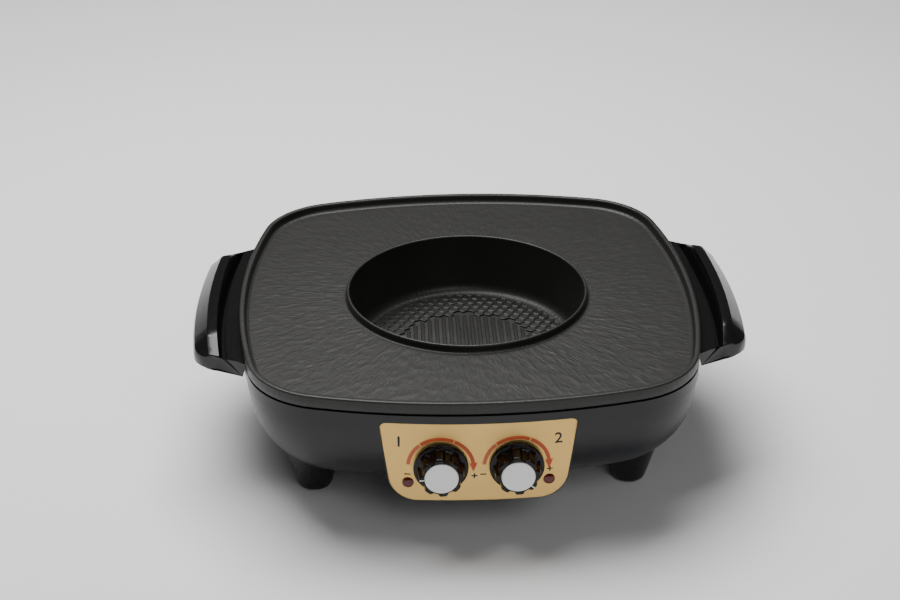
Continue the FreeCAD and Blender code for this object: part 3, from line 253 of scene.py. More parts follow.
def close_end(flat):
    """Closes the selected loop of edges with a flat face, or draws it in to a pole."""
    if flat:
        bpy.ops.mesh.edge_face_add()
    else:
        bpy.ops.mesh.extrude_region_move()
        bpy.ops.mesh.merge(type="CENTER")


def extrude_rings(columns, rings, flat=False):
    """Extrudes a circle's edge ring by ring, sets each ring in place and closes both ends.

    rings holds functions that give a place for a column's angle.
    """
    clear_selection()
    bpy.ops.mesh.primitive_circle_add(vertices=columns, radius=MM)
    piece = bpy.context.object
    bpy.ops.object.mode_set(mode="EDIT")
    bpy.ops.mesh.select_mode(type="EDGE")
    mesh = bmesh.from_edit_mesh(piece.data)
    step = math.tau / columns
    column = {}
    for vertex in mesh.verts:
        turn = math.atan2(vertex.co.y, vertex.co.x)
        column[vertex.index] = round(turn / step) % columns
        vertex.co = rings[0](column[vertex.index] * step)
    for ring in rings[1:]:
        bpy.ops.mesh.extrude_region_move()
        mesh = bmesh.from_edit_mesh(piece.data)
        mesh.verts.index_update()
        mesh.verts.ensure_lookup_table()
        for vertex in mesh.verts[-columns:]:
            before = next(edge.other_vert(vertex) for edge in vertex.link_edges
                          if not edge.other_vert(vertex).select)
            column[vertex.index] = column[before.index]
            vertex.co = ring(column[vertex.index] * step)
    close_end(flat)
    bpy.ops.mesh.select_all(action="DESELECT")
    mesh = bmesh.from_edit_mesh(piece.data)
    for edge in mesh.edges:
        edge.select_set(edge.is_boundary)
    close_end(flat)
    bpy.ops.mesh.select_all(action="SELECT")
    bpy.ops.mesh.normals_make_consistent(inside=False)
    bmesh.update_edit_mesh(piece.data)
    bpy.ops.object.mode_set(mode="OBJECT")
    return piece


def round_ring(radius, height):
    """A ring round the well's axis."""
    return lambda angle: Vector((radius * MM * math.cos(angle),
                                 AXIS_BACK * MM + radius * MM * math.sin(angle), height * MM))


def edge_ring(inset, height):
    """A ring that follows the plate's outline."""
    def place(angle):
        reach = outline_reach(angle, inset * MM)
        return Vector((reach * math.cos(angle), AXIS_BACK * MM + reach * math.sin(angle),
                       height * MM))
    return place


def hammered(angle, reach):
    """Height of the hammered skin: shallow dimples in strokes that run out from the well."""
    plate = sizes()
    turns = STROKE_RADIUS * MM / plate.hammer_across
    spot = Vector((math.cos(angle) * turns, math.sin(angle) * turns,
                   reach / plate.hammer_along))
    sway = noise.noise_vector(spot * 0.55) * 0.5
    nearest = noise.voronoi(spot + sway)[0]
    dimple = min(nearest[0] ** 2, 0.8)
    seam_width, seam_depth = 0.16, 0.25
    seam = max(0.0, seam_width - (nearest[1] - nearest[0])) / seam_width
    # Slow waves, about 17 mm wide and 56 mm long
    broad = noise.noise(Vector((math.cos(angle) * 9, math.sin(angle) * 9, reach * 18)))
    return plate.hammer_depth * (dimple - seam_depth * seam * seam + 0.18 * broad)


def field_ring(share, inner, inset, height):
    """A ring of the hammered field between the well's collar and the lip."""
    fade_width = 5 * MM

    def place(angle):
        outer = outline_reach(angle, inset * MM)
        reach = inner * MM + (outer - inner * MM) * share
        fade = min(1.0, (reach - inner * MM) / fade_width, (outer - reach) / fade_width)
        rise = hammered(angle, reach) * fade
        return Vector((reach * math.cos(angle), AXIS_BACK * MM + reach * math.sin(angle),
                       height * MM + rise))
    return place


def curve_points(centre, radius, first, last, count):
    """Points round an arc given in degrees, as radius and height."""
    angles = [math.radians(first + (last - first) * step / count) for step in range(count + 1)]
    return [(centre[0] + radius * math.cos(angle), centre[1] + radius * math.sin(angle))
            for angle in angles]


class BuildGrillPan(bpy.types.Operator):
    """Cast plate with its rolled lip, hammered field, collar and deep pot well"""
    bl_idname = "cooker.grill_pan"
    bl_label = "Grill pan"

    def execute(self, context):
        floor, base = HEIGHTS["well_floor"], HEIGHTS["well_base"]
        under, field = HEIGHTS["plate_base"], HEIGHTS["field"]
        top, lip = HEIGHTS["collar"], HEIGHTS["lip"]
        well = sizes().well / MM
        cove, bead = 9, 1.25
        collar_out, collar_foot, field_inset = well + 4.5, well + 6.4, 8.2
        # Up the inside of the well, over its collar and down to the field
        inner = [(12, floor), (40, floor), (70, floor)]
        inner += curve_points((well - cove, floor + cove), cove, -90, 0, 6)
        inner += [(well + 0.6, floor + 22), (well + 1.3, floor + 38), (well + 1.9, top - 1.4)]
        inner += curve_points((well + 3.1, top - bead), bead, 165, 20, 5)
        inner += [(collar_out, top - 2.4), (collar_out, field + 1.6), (well + 4.75, field + 0.7),
                  (well + 5.4, field + 0.15), (collar_foot, field)]
        rings = [round_ring(radius, height) for radius, height in inner]
        # Unseeded, noise_vector shifts its pattern by the clock
        noise.seed_set(1)
        field_rings = 58
        rings += [field_ring(step / field_rings, collar_foot, field_inset, field)
                  for step in range(1, field_rings + 1)]
        # Up to the lip, over it, down the skirt and under the plate, each drawn in from the edge
        edge = [(7.6, field + 0.05), (7.2, field + 0.4), (6.8, field + 0.55), (6.0, field + 0.7),
                (5.4, field + 1.4), (5.0, field + 2.8), (4.8, field + 4.4), (4.7, lip - 1.6),
                (4.5, lip - 0.8), (4.2, lip - 0.25), (3.6, lip), (1.2, lip), (0.7, lip - 0.12),
                (0.25, lip - 0.5), (0.05, lip - 1.1), (0, lip - 2.2), (0, lip - 5),
                (0.05, under + 1.9), (0.5, under + 1.2), (1.6, under + 0.8), (5, under),
                (30, under)]
        rings += [edge_ring(inset, height) for inset, height in edge]
        # Down the outside of the well to its base
        outer = [(well + 12, under), (collar_out, under), (collar_out, under - 1),
                 (collar_out, base + cove)]
        outer += curve_points((collar_out - cove, base + cove), cove, 0, -90, 5)[1:]
        outer += [(40, base), (12, base)]
        rings += [round_ring(radius, height) for radius, height in outer]
        columns = 800
        piece = extrude_rings(columns, rings)
        smooth(piece, 50)
        settle(piece, "cast_plate", finish("plate_coating"))
        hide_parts("grill_pan")
        return {"FINISHED"}


def rib_reach(across):
    """Half length of the rib that stands this far from the middle.

    The ribbed zone is a circle squashed from front to back.
    """
    zone, squash, overlap = sizes().rib_zone, 0.86, 2 * MM
    return math.sqrt(max(zone ** 2 - across ** 2, 0)) * squash + overlap


class BuildWellRelief(bpy.types.Operator):
    """Ribs in the middle of the well's floor, and a ring of six-sided cells round them"""
    bl_idname = "cooker.well_relief"
    bl_label = "Well relief"

    def ribs(self):
        """Bars with rounded tops, each as long as the ribbed zone is there."""
        plate = sizes()
        wide, tall, rounding = plate.rib_pitch * 0.56, 1.3 * MM, 0.85 * MM
        model_half = 10 * MM
        clear_selection()
        bpy.ops.mesh.primitive_cube_add(size=1, location=(0, 0, 0))
        model = bpy.context.object
        bpy.ops.object.mode_set(mode="EDIT")
        bpy.ops.transform.resize(value=(wide, model_half * 2, tall * 2))
        mesh = bmesh.from_edit_mesh(model.data)
        for edge in mesh.edges:
            edge.select_set(all(vertex.co.z > 0 for vertex in edge.verts))
        bpy.ops.mesh.bevel(offset=rounding, segments=3, profile=0.5)
        bpy.ops.object.mode_set(mode="OBJECT")
        bars = []
        count = int(plate.rib_zone / plate.rib_pitch)
        for step in range(-count, count + 1):
            across = step * plate.rib_pitch
            longer = rib_reach(across) - model_half
            bar = copy_with_mesh(model)
            for vertex in bar.data.vertices:
                vertex.co.y += math.copysign(longer, vertex.co.y)
                vertex.co.x += across
                vertex.co.y += AXIS_BACK * MM
                vertex.co.z += HEIGHTS["well_floor"] * MM
            bars.append(bar)
        bpy.data.objects.remove(model)
        piece = joined(bars)
        smooth(piece, 60)
        settle(piece, "well_ribs", finish("relief_coating"))

    def cell(self, pitch):
        """One six-sided cell: a raised rim round a pocket."""
        gap, tall = 0.01 * MM, 2.4 * MM
        clear_selection()
        bpy.ops.mesh.primitive_cylinder_add(vertices=6, radius=pitch / math.sqrt(3) - gap,
                                            depth=tall)
        model = bpy.context.object
        bpy.ops.object.mode_set(mode="EDIT")
        mesh = bmesh.from_edit_mesh(model.data)
        for face in mesh.faces:
            face.select_set(face.normal.z > 0.9)
        # Up to the rim's crest, down its inside, and down to the pocket's floor
        for wide, rise in ((0.35, 0.25), (0.3, -0.25), (0.6, -0.6)):
            bpy.ops.mesh.inset(thickness=wide * MM, depth=rise * MM)
        bpy.ops.object.mode_set(mode="OBJECT")
        return model

    def cells(self):
        """Cells on the rest of the floor, each row half a cell along from the last."""
        plate = sizes()
        pitch = plate.cell_pitch
        row_pitch = pitch * math.sqrt(3) / 2
        floor_reach = 88.5 * MM
        rows = int(floor_reach / row_pitch) + 1
        model = self.cell(pitch)
        tiles = []
        for row in range(-rows, rows + 1):
            for place in range(-rows - 2, rows + 3):
                x = (place + 0.5 * (row % 2)) * pitch
                y = row * row_pitch
                past_floor = math.hypot(x, y) > floor_reach - pitch * 0.3
                over_ribs = (abs(y) < rib_reach(x) + pitch * 0.42
                             and abs(x) < plate.rib_zone + pitch * 0.3)
                if past_floor or over_ribs:
                    continue
                tile = copy_with_mesh(model)
                tile.data.transform(Matrix.Translation(
                    (x, y + AXIS_BACK * MM, HEIGHTS["well_floor"] * MM)))
                tiles.append(tile)
        bpy.data.objects.remove(model)
        piece = joined(tiles)
        smooth(piece, 30)
        settle(piece, "well_cells", finish("relief_coating"))

    def execute(self, context):
        self.ribs()
        self.cells()
        return {"FINISHED"}


def onto_panel(x, z, proud):
    """A place on the panel's bowed face, a little proud of it."""
    panel = panel_sizes()
    bow = panel.bow - math.sqrt(panel.bow ** 2 - x * x)
    return Vector((x, AXIS_BACK * MM - (panel.reach - bow) - proud, z))


def lay_print(piece):
    """Lays a flat shape, drawn in X and Y, on the panel and gives it thickness.

    Real ink is thinner. This is 0.1 mm thick, 0.03 mm of it sunk in the panel.
    """
    proud, thick = 0.02 * MM, 0.1 * MM
    for vertex in piece.data.vertices:
        vertex.co = onto_panel(vertex.co.x, vertex.co.y, proud)
    apply_modifier(piece, "SOLIDIFY", thickness=thick, offset=0)
    face_outwards(piece)
    return piece


def arc_band(centre, inner, outer, first, last, taper=0.0):
    """A flat band round a knob between two angles, narrowed to a point where asked."""
    clear_selection()
    bpy.ops.mesh.primitive_grid_add(x_subdivisions=48, y_subdivisions=2, size=1)
    band = bpy.context.object
    middle = (inner + outer) / 2
    for vertex in band.data.vertices:
        share = vertex.co.x + 0.5
        wide = (outer - inner) * (1 - taper * share)
        reach = middle + vertex.co.y * wide
        angle = math.radians(first + (last - first) * share)
        vertex.co = Vector((centre[0] + reach * math.cos(angle),
                            centre[1] + reach * math.sin(angle), 0))
    return band


class BuildPanelPrints(bpy.types.Operator):
    """Printed arcs with arrow heads round the knobs, and plain marks at their ends"""
    bl_idname = "cooker.panel_prints"
    bl_label = "Panel prints"

    def mark(self, text, x, z, size):
        """A flat sign of a given size, in millimetres, with its middle at x and z."""
        stroke = 0.16
        clear_selection()
        bpy.ops.object.text_add()
        words = bpy.context.object
        words.data.body = text
        words.data.size = size * MM
        words.data.offset = stroke * MM
        words.data.align_x = "CENTER"
        words.data.align_y = "CENTER"
        bpy.ops.object.convert(target="MESH")
        mark = bpy.context.object
        mark.data.transform(Matrix.Translation((x * MM, z * MM, 0)))
        return mark

    def execute(self, context):
        panel = panel_sizes()
        middle = (panel.arc_inner + panel.arc_outer) / 2
        drop, head_half = 0.6 * MM, 3.2 * MM
        light, deep = [], []
        for side in (-1, 1):
            centre = (panel.knob_across * side, panel.knob_height - drop)
            spans = [(176, 130, light), (128, 67, deep), (65, 6, deep)]
            for first, last, group in spans:
                group.append(arc_band(centre, panel.arc_inner, panel.arc_outer, first, last))
            deep.append(arc_band(centre, middle - head_half, middle + head_half, 8, -10, 0.97))
        for group, name in ((light, "print_light"), (deep, "print_deep")):
            piece = joined([lay_print(band) for band in group])
            settle(piece, "panel_" + name, finish(name))
        number_across, number_height, number_size = 60.5, 97, 13
        sign_across, minus_height, sign_size = 25.5, 68, 9
        # The right plus sign stands higher, clear of the lamp
        plus_heights = {-1: 66.8, 1: 69.8}
        marks = [self.mark(text, side * number_across, number_height, number_size)
                 for text, side in (("1", -1), ("2", 1))]
        for side in (-1, 1):
            knob = side * panel.knob_across / MM
            marks.append(self.mark("−", knob - sign_across, minus_height, sign_size))
            marks.append(self.mark("+", knob + sign_across, plus_heights[side], sign_size))
        piece = joined([lay_print(mark) for mark in marks])
        settle(piece, "panel_marks", finish("print_dark"))
        return {"FINISHED"}


def add_node(tree, kind, links=None, values=None, **settings):
    """Adds a shader node with its settings, input values and incoming links."""
    node = tree.nodes.new(kind)
    for key, value in settings.items():
        setattr(node, key, value)
    for socket, value in (values or {}).items():
        node.inputs[socket].default_value = value
    for socket, source in (links or {}).items():
        tree.links.new(source, node.inputs[socket])
    return node


FINISHES = {}


def finish(name):
    """A finish by its name, made beforehand."""
    return FINISHES[name]


def rgba(values):
    """A shader colour from linear values."""
    return (values[0], values[1], values[2], 1.0)


def make_finish(name, base, rough, metal=0.0, grain=1.0, depth=0.01, rough_spread=0.05,
                tint_spread=0.12, stretch=(1, 1, 1), patch=25.0, speck=0.0, streak=0.0,
                **sockets):
    """A procedural finish: surface grain in bump and roughness, with broad colour patches.

    grain is the size of the surface's grain in millimetres, depth its height. A real moulded
    or plated grain is mostly finer than a tenth of a millimetre, so it is drawn coarser to show.
    patch is the size of the broad patches of colour, speck the strength of pale specks,
    streak the height of fine strokes that run out from the well.
    """
    material = bpy.data.materials.new(name)
    material.use_nodes = True
    tree = material.node_tree
    tree.nodes.clear()
    where = add_node(tree, "ShaderNodeTexCoord").outputs["Object"]
    turned = add_node(tree, "ShaderNodeMapping", {"Vector": where}, {"Scale": stretch})
    fine = add_node(tree, "ShaderNodeTexNoise", {"Vector": turned.outputs["Vector"]},
                    {"Scale": 1 / (grain * MM), "Detail": 3.0, "Roughness": 0.55})
    broad = add_node(tree, "ShaderNodeTexNoise", {"Vector": where},
                     {"Scale": 1 / (patch * MM), "Detail": 2.0})
    tint = add_node(tree, "ShaderNodeMix", {"Factor": broad.outputs["Fac"]}, data_type="RGBA")
    tint.inputs["A"].default_value = rgba([part * (1 - tint_spread) for part in base])
    tint.inputs["B"].default_value = rgba([min(part * (1 + tint_spread), 1) for part in base])
    hue = tint.outputs["Result"]
    if speck:
        speck_pitch = 3.2 * MM
        dots = add_node(tree, "ShaderNodeTexVoronoi", {"Vector": where},
                        {"Scale": 1 / speck_pitch, "Randomness": 1.0})
        near = add_node(tree, "ShaderNodeMapRange", {"Value": dots.outputs["Distance"]},
                        {"From Min": 0.05, "From Max": 0.12, "To Min": speck, "To Max": 0.0})
        pale = add_node(tree, "ShaderNodeMix", {"Factor": near.outputs["Result"], "A": hue},
                        data_type="RGBA")
        pale.inputs["B"].default_value = rgba([min(part * 4 + 0.03, 1) for part in base])
        hue = pale.outputs["Result"]
    dull = add_node(tree, "ShaderNodeMapRange", {"Value": fine.outputs["Fac"]},
                    {"From Min": 0.3, "From Max": 0.7, "To Min": max(rough - rough_spread, 0.02),
                     "To Max": rough + rough_spread})
    bump = add_node(tree, "ShaderNodeBump", {"Height": fine.outputs["Fac"]},
                    {"Strength": 1.0, "Distance": depth * MM})
    if streak:
        bump = streak_bump(tree, where, streak, bump)
    shader = add_node(tree, "ShaderNodeBsdfPrincipled",
                      {"Base Color": hue, "Roughness": dull.outputs["Result"],
                       "Normal": bump.outputs["Normal"]}, {"Metallic": metal})
    for socket, value in sockets.items():
        shader.inputs[socket.replace("_", " ")].default_value = value
    add_node(tree, "ShaderNodeOutputMaterial", {"Surface": shader.outputs["BSDF"]})
    FINISHES[name] = material


def streak_bump(tree, where, depth, under):
    """Bump of fine strokes that run out from the well's axis, laid over another bump."""
    wide_pitch, long_pitch = 2.4, 9 * MM
    shifted = add_node(tree, "ShaderNodeMapping", {"Vector": where},
                       {"Location": (0, -AXIS_BACK * MM, 0), "Scale": (1, 1, 0)})
    reach = add_node(tree, "ShaderNodeVectorMath", {"Vector": shifted.outputs["Vector"]},
                     operation="LENGTH")
    aim = add_node(tree, "ShaderNodeVectorMath", {"Vector": shifted.outputs["Vector"]},
                   operation="NORMALIZE")
    wide = add_node(tree, "ShaderNodeVectorMath", {"Vector": aim.outputs["Vector"]},
                    {"Scale": STROKE_RADIUS / wide_pitch}, operation="SCALE")
    out = add_node(tree, "ShaderNodeMath", {0: reach.outputs["Value"]}, {1: 1 / long_pitch},
                   operation="MULTIPLY")
    split = add_node(tree, "ShaderNodeSeparateXYZ", {"Vector": wide.outputs["Vector"]})
    spot = add_node(tree, "ShaderNodeCombineXYZ",
                    {"X": split.outputs["X"], "Y": split.outputs["Y"],
                     "Z": out.outputs["Value"]})
    strokes = add_node(tree, "ShaderNodeTexNoise", {"Vector": spot.outputs["Vector"]},
                       {"Scale": 1.0, "Detail": 2.0, "Roughness": 0.5})
    crest = add_node(tree, "ShaderNodeMapRange", {"Value": strokes.outputs["Fac"]},
                     {"From Min": 0.42, "From Max": 0.72})
    return add_node(tree, "ShaderNodeBump",
                    {"Height": crest.outputs["Result"], "Normal": under.outputs["Normal"]},
                    {"Strength": 1.0, "Distance": depth * MM})


class MakeFinishes(bpy.types.Operator):
    """Every finish of the cooker, each from what the real one is made of"""
    bl_idname = "cooker.finishes"
    bl_label = "Finishes"

    def execute(self, context):
        hues = context.scene.cooker_colours
        # PTFE coat sprayed on cast aluminium: dull sheen, fine orange peel, pale specks
        make_finish("plate_coating", hues.coating, 0.42, grain=0.9, depth=0.04,
                    rough_spread=0.06, speck=0.3, patch=40, streak=0.11,
                    Specular_IOR_Level=0.4)
        # The same coat on the well's relief, without the strokes
        make_finish("relief_coating", hues.coating, 0.4, grain=0.9, depth=0.03,
                    Specular_IOR_Level=0.4)
        # ABS moulded in a satin tool: soft broad highlights
        make_finish("body_plastic", hues.body, 0.33, grain=1.2, depth=0.006, patch=60,
                    Specular_IOR_Level=0.4)
        # Phenolic moulding, polished: clear highlights
        make_finish("handle_plastic", hues.handle, 0.2, grain=2.5, depth=0.002, patch=50,
                    Specular_IOR_Level=0.45)
        # Phenolic moulding, semi gloss
        make_finish("foot_plastic", linear("#111113"), 0.3, grain=2.0, depth=0.006)
        # Aluminium, brushed level and anodised champagne
        make_finish("panel_metal", hues.panel, 0.45, metal=0.85, grain=0.7, depth=0.01,
                    stretch=(0.03, 1, 1), tint_spread=0.07, patch=90)
        # Phenolic moulding, dark brown, a softer gloss than the handles
        make_finish("knob_plastic", hues.knob, 0.27, grain=2.0, depth=0.003,
                    Specular_IOR_Level=0.28)
        # Aluminium under an opaque pale lacquer: no metal shine
        make_finish("cap_metal", linear("#F4F4F3"), 0.4, grain=0.8, depth=0.004,
                    tint_spread=0.03)
        # Paint in the pointer's groove
        make_finish("pointer_white", linear("#E8E6E1"), 0.5, grain=0.6, depth=0.01)
        # Clear polycarbonate, dyed red
        make_finish("lamp_red", linear("#6A0E0C"), 0.12, grain=1.5, depth=0.01,
                    Transmission_Weight=0.3)
        # Polyamide moulding, cream
        make_finish("lamp_body", linear("#D8D2C4"), 0.5, grain=0.8, depth=0.01)
        # Steel, turned and zinc plated
        make_finish("steel", linear("#A9ABAE"), 0.28, metal=1.0, grain=0.5, depth=0.008)
        # Steel sheet, zinc plated, faint spangle
        make_finish("zinc_steel", linear("#B4B7BA"), 0.36, metal=1.0, grain=3.0, depth=0.01,
                    tint_spread=0.15, patch=6)
        # Steel tube, annealed to a blue-brown
        make_finish("heater_tube", linear("#6A625B"), 0.45, metal=1.0, grain=0.8, depth=0.02,
                    tint_spread=0.25, patch=18)
        # Aluminium sheet, rolled
        make_finish("shield_metal", linear("#C6C8CA"), 0.4, metal=1.0, grain=0.8, depth=0.01,
                    stretch=(0.05, 1, 1))
        # Steatite, pressed and fired
        make_finish("thermostat_case", linear("#D9D2C2"), 0.6, grain=0.5, depth=0.02)
        # Polyamide moulding, ivory
        make_finish("block_plastic", linear("#DDD9CE"), 0.45, grain=0.8, depth=0.01)
        # Aluminium, drawn
        make_finish("fuse_case", linear("#BDBFC0"), 0.3, metal=1.0, grain=0.6, depth=0.006,
                    stretch=(0.1, 1, 1))
        # Heat-proof moulding, fine spark-eroded texture
        make_finish("inlet_plastic", linear("#141415"), 0.55, grain=0.5, depth=0.03)
        # Brass pins, nickel plated
        make_finish("pin_brass", linear("#C9BE9B"), 0.25, metal=1.0, grain=0.5, depth=0.004)
        # Rubber, moulded, dusty
        make_finish("pad_rubber", linear("#1D1D1D"), 0.75, grain=0.6, depth=0.03)
        # Glass-braid sleeve
        make_finish("wire_sleeve", linear("#CFC8B8"), 0.7, grain=0.8, depth=0.15,
                    stretch=(1, 1, 1.6))
        # Screen-printed inks: a little raised, satin
        make_finish("print_light", hues.print_light, 0.5, grain=0.5, depth=0.01)
        make_finish("print_deep", hues.print_deep, 0.5, grain=0.5, depth=0.01)
        make_finish("print_dark", linear("#2A2320"), 0.5, grain=0.5, depth=0.01)
        # Paper sweep under soft light
        make_finish("paper", linear("#F1F1F2"), 0.8, grain=2.0, depth=0.01, tint_spread=0.01,
                    patch=600)
        return {"FINISHED"}


class FinishNodes(bpy.types.Operator):
    """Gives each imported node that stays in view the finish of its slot"""
    bl_idname = "cooker.nodes"
    bl_label = "Packed nodes"

    def execute(self, context):
        for part in frame["record"]["subparts"]:
            node = frame["nodes"][part["node"]]
            node.data.materials.clear()
            node.data.materials.append(finish(part["material_slot"]))
        return {"FINISHED"}


class BuildStage(bpy.types.Operator):
    """Pale sweep, soft overhead light and the camera at the photograph's angle"""
    bl_idname = "cooker.stage"
    bl_label = "Stage"

    def light(self, name, place, target, size, power, tone):
        """An oblong lamp at a place, turned to a target."""
        lamp = bpy.data.lights.new(name, "AREA")
        lamp.shape = "RECTANGLE"
        lamp.size, lamp.size_y = size
        lamp.energy = power
        lamp.color = tone
        holder = bpy.data.objects.new(name, lamp)
        bpy.context.collection.objects.link(holder)
        holder.location = place
        aim = Vector(target) - Vector(place)
        holder.rotation_euler = aim.to_track_quat("-Z", "Y").to_euler()

    def execute(self, context):
        sweep = 14
        clear_selection()
        bpy.ops.mesh.primitive_grid_add(x_subdivisions=8, y_subdivisions=8, size=sweep)
        floor = context.object
        floor.name = "paper_sweep"
        floor.data.materials.append(finish("paper"))
        world = bpy.data.worlds.new("studio")
        context.scene.world = world
        world.use_nodes = True
        tree = world.node_tree
        where = add_node(tree, "ShaderNodeTexCoord").outputs["Generated"]
        split = add_node(tree, "ShaderNodeSeparateXYZ", {"Vector": where})
        # A dim grey surround, a little brighter overhead: the lamps give most of the light
        rise = add_node(tree, "ShaderNodeMapRange", {"Value": split.outputs["Z"]},
                        {"From Min": 0.0, "From Max": 0.75, "To Min": 1.15, "To Max": 1.55})
        tree.links.new(rise.outputs["Result"], tree.nodes["Background"].inputs["Strength"])
        self.light("overhead_soft", place=(-0.3, 0.5, 1.9), target=(0, 0, 0.1), size=(1.8, 1.4),
                   power=72, tone=(1, 0.99, 0.98))
        self.light("front_soft", place=(0.6, -1.8, 1.5), target=(0, 0, 0.08), size=(1.2, 1.0),
                   power=10, tone=(1, 1, 1))
        camera = bpy.data.cameras.new("photo_camera")
        # Lens in millimetres, place in metres and directions, fitted to the photograph
        camera.lens = 65.44
        camera.sensor_width = 36
        holder = bpy.data.objects.new("photo_camera", camera)
        context.collection.objects.link(holder)
        right = Vector((0.9992, -0.0400, -0.0040))
        up = Vector((0.0223, 0.4673, 0.8838))
        forward = Vector((0.0335, 0.8832, -0.4678))
        stand = (-0.0607, -1.21635, 0.768)
        turn = Matrix((right, up, -forward)).transposed().to_4x4()
        holder.matrix_world = Matrix.Translation(stand) @ turn
        context.scene.camera = holder
        return {"FINISHED"}


class BuildHandles(bpy.types.Operator):
    """Side handles: a shelf at the body, a dark slot, and a raised bar with sloped ends"""
    bl_idname = "cooker.handles"
    bl_label = "Handles"

    def section(self, share):
        """One cross-section, at a share of the handle's half length, in places round it."""
        handle = handle_sizes()
        half, root_half = handle.half / MM, handle.root_half / MM
        bow, corner = handle.bow / MM, handle.corner / MM
        along = abs(half * share)
        outer = handle.reach / MM - along ** 2 / (2 * bow)
        past = max(along - (half - corner), 0)
        outer -= corner - math.sqrt(max(corner ** 2 - past ** 2, 0))
        side_bow, plate_half = sizes().side_bow / MM, sizes().half / MM
        root_y = root_half * share
        root_depth = 1.2
        root_x = plate_half - side_bow + math.sqrt(side_bow ** 2 - root_y ** 2) - root_depth
        shelf, low = HEIGHTS["plate_base"], HEIGHTS["handle_base"]
        # The raised bar slopes down to the shelf towards the handle's ends
        bar_height, bar_end, bar_slope = 9.2, 84.5, 17.8
        rise = min(max((bar_end - along) / bar_slope, 0), 1)
        bar = shelf + bar_height * rise
        bar_inner = 205.4
        inner = bar_inner - along ** 2 / (2 * side_bow)
        slot_end, slot_depth = 86, 7.5
        slot_floor = shelf - slot_depth if along < slot_end else shelf
        hollow_end, hollow_depth, end_depth = 83, 3.6, 0.3
        hollow = hollow_depth if along < hollow_end else end_depth
        ridge = min(inner + 10.6, outer - 3)
        points = [(root_x, low + 1), (root_x, shelf), (inner - 4.2, shelf + 0.1),
                  (inner - 3.9, slot_floor), (inner - 0.5, slot_floor),
                  (inner, max(bar, shelf)), (inner + 2.5, bar + 0.15 * rise),
                  (ridge - 2, bar + 0.1 * rise), (ridge, bar - 0.4 * rise - 0.1),
                  ((ridge + outer) / 2 + 0.4, bar - 4.6 * rise - 0.9),
                  (outer - 1.2, bar - 9.4 * rise - 2.0), (outer, bar - 11.4 * rise - 3.2),
                  (outer, low + 1.2), (outer - 1.2, low), (outer - 3.2, low),
                  (outer - 3.4, low + hollow), (root_x + 4, low + 0.7 + hollow),
                  (root_x + 3.8, low + 1)]
        places = []
        for x, z in points:
            out = (x - root_x) / (outer - root_x)
            y = root_y + (half - root_half) * share * out
            places.append(Vector((x * MM, (y + AXIS_BACK) * MM, z * MM)))
        return places

    def execute(self, context):
        # Cross-sections from end to middle, close together where the ends slope
        shares = [-1, -0.985, -0.96, -0.947, -0.943, -0.93, -0.88, -0.84, -0.8, -0.76, -0.733,
                  -0.6, -0.4, -0.2, 0]
        shares += [-share for share in reversed(shares[:-1])]
        sections = [self.section(share) for share in shares]
        columns = len(sections[0])
        step = math.tau / columns

        def ring(places):
            return lambda angle: places[round(angle / step) % columns]

        right = extrude_rings(columns, [ring(places) for places in sections], flat=True)
        left = copy_with_mesh(right)
        for piece, name, side in ((right, "right_handle", 1), (left, "left_handle", -1)):
            if side < 0:
                piece.data.transform(Matrix.Scale(-1, 4, (1, 0, 0)))
                piece.data.flip_normals()
            apply_modifier(piece, "BEVEL", width=0.7 * MM, segments=3, limit_method="ANGLE",
                           angle_limit=math.radians(28))
            smooth(piece, 42)
            settle(piece, name.replace("handle", "grip"), finish("handle_plastic"))
            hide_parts(name)
        return {"FINISHED"}


def dial_ring(centre, turn, radius, out, flute=0.0):
    """A ring round a knob, this far out from its back, cut in between its eight lobes."""
    lobes = 8

    def place(angle):
        wave = 0.5 - 0.5 * math.cos(lobes * (angle - turn))
        cut = flute * min(max((wave - 0.35) / 0.45, 0), 1)
        reach = (radius - cut) * MM
        return Vector((centre[0] + reach * math.cos(angle), centre[1] - out * MM,
                       centre[2] + reach * math.sin(angle)))
    return place


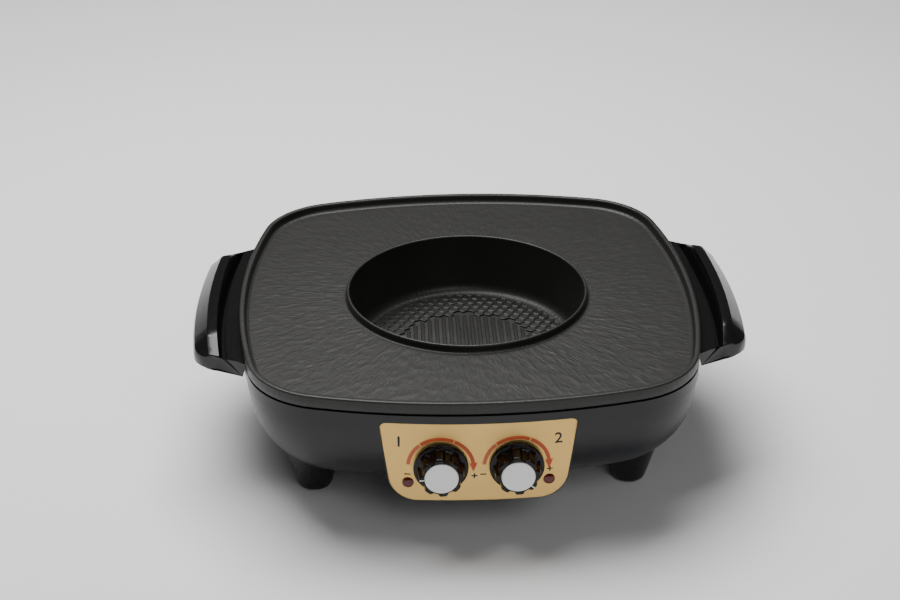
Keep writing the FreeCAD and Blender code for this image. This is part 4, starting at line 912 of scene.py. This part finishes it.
class BuildKnobs(bpy.types.Operator):
    """Fluted knobs on round skirts, each open in front for its pale cap"""
    bl_idname = "cooker.knobs"
    bl_label = "Knobs"

    def pointer(self, name, centre, turn):
        """A white line let into the lobe that points the way."""
        length, deep, wide = 3.5 * MM, 0.8 * MM, 1.0 * MM
        middle, front, rounding = 14.85 * MM, 15.15 * MM, 0.15 * MM
        clear_selection()
        bpy.ops.mesh.primitive_cube_add(size=1)
        line = bpy.context.object
        bpy.ops.object.mode_set(mode="EDIT")
        bpy.ops.transform.resize(value=(length, deep, wide))
        bpy.ops.transform.translate(value=(middle, front, 0))
        bpy.ops.mesh.bevel(offset=rounding, segments=2, affect="EDGES")
        bpy.ops.object.mode_set(mode="OBJECT")
        for vertex in line.data.vertices:
            out, away = vertex.co.x, vertex.co.z
            vertex.co = Vector(centre) + Vector((out * math.cos(turn) - away * math.sin(turn),
                                                 -vertex.co.y,
                                                 out * math.sin(turn) + away * math.cos(turn)))
        face_outwards(line)
        settle(line, name + "_pointer_line", finish("pointer_white"),
               name + "_dial")
        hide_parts(name + "_pointer")

    def execute(self, context):
        panel = panel_sizes()
        # Radius, distance out and depth of the flutes: skirt, fluted side, and seat of the cap
        skirt = [(6, 0), (14, 0), (20.2, 0), (20.7, 0.2), (20.95, 0.6), (20.95, 1.6),
                 (20.6, 2.1), (19.9, 2.4), (18.9, 2.55)]
        side_wall = [(18.3, 2.9, 0.5), (17.95, 3.6, 1.5), (17.8, 5, 2.2), (17.3, 10, 2.3),
                     (16.9, 13.6, 2.3), (16.7, 14.6, 2.25), (16.2, 15.2, 2.1),
                     (15.5, 15.4, 1.7), (14.4, 15.45, 0.6)]
        cap_seat = [(13.4, 15.4), (13.0, 15.2), (12.95, 14.4), (12.6, 14.2), (5, 14.2)]
        columns = 192
        for name, side, pointing in DIALS:
            centre = (panel.knob_across * side, (AXIS_BACK - KNOB_SEAT) * MM, panel.knob_height)
            turn = math.radians(pointing)
            rings = [dial_ring(centre, turn, *row) for row in (*skirt, *side_wall, *cap_seat)]
            piece = extrude_rings(columns, rings)
            smooth(piece, 50)
            settle(piece, name + "_fluted_knob", finish("knob_plastic"),
                   name + "_dial")
            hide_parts(name + "_knob")
            self.pointer(name, centre, turn)
        return {"FINISHED"}


class CookerPanelView(bpy.types.Panel):
    """Lists the cooker's builders in the sidebar"""
    bl_idname = "VIEW3D_PT_cooker"
    bl_label = "Table cooker"
    bl_space_type = "VIEW_3D"
    bl_region_type = "UI"
    bl_category = "Cooker"

    def draw(self, context):
        for builder in BUILDERS:
            self.layout.operator(builder.bl_idname)


GROUPS = {"cooker_plate": CookerPlate, "cooker_panel": CookerPanel,
          "cooker_handle": CookerHandle, "cooker_colours": CookerColours}
BUILDERS = (MakeFinishes, FinishNodes, BuildGrillPan, BuildWellRelief, BuildHandles,
            BuildKnobs, BuildPanelPrints, BuildStage)


def register():
    """Registers the classes and hangs the settings on the scene."""
    for kind in (*GROUPS.values(), *BUILDERS, CookerPanelView):
        bpy.utils.register_class(kind)
    for name, kind in GROUPS.items():
        setattr(bpy.types.Scene, name, bpy.props.PointerProperty(type=kind))


def unregister():
    """Takes the settings and classes away again."""
    for name in GROUPS:
        delattr(bpy.types.Scene, name)
    for kind in (CookerPanelView, *reversed(BUILDERS), *reversed(GROUPS.values())):
        bpy.utils.unregister_class(kind)


def main():
    """Builds everything in order."""
    register()
    for builder in BUILDERS:
        area, name = builder.bl_idname.split(".")
        getattr(getattr(bpy.ops, area), name)()
    bpy.context.view_layer.update()


if __name__ == "__main__":
    main()
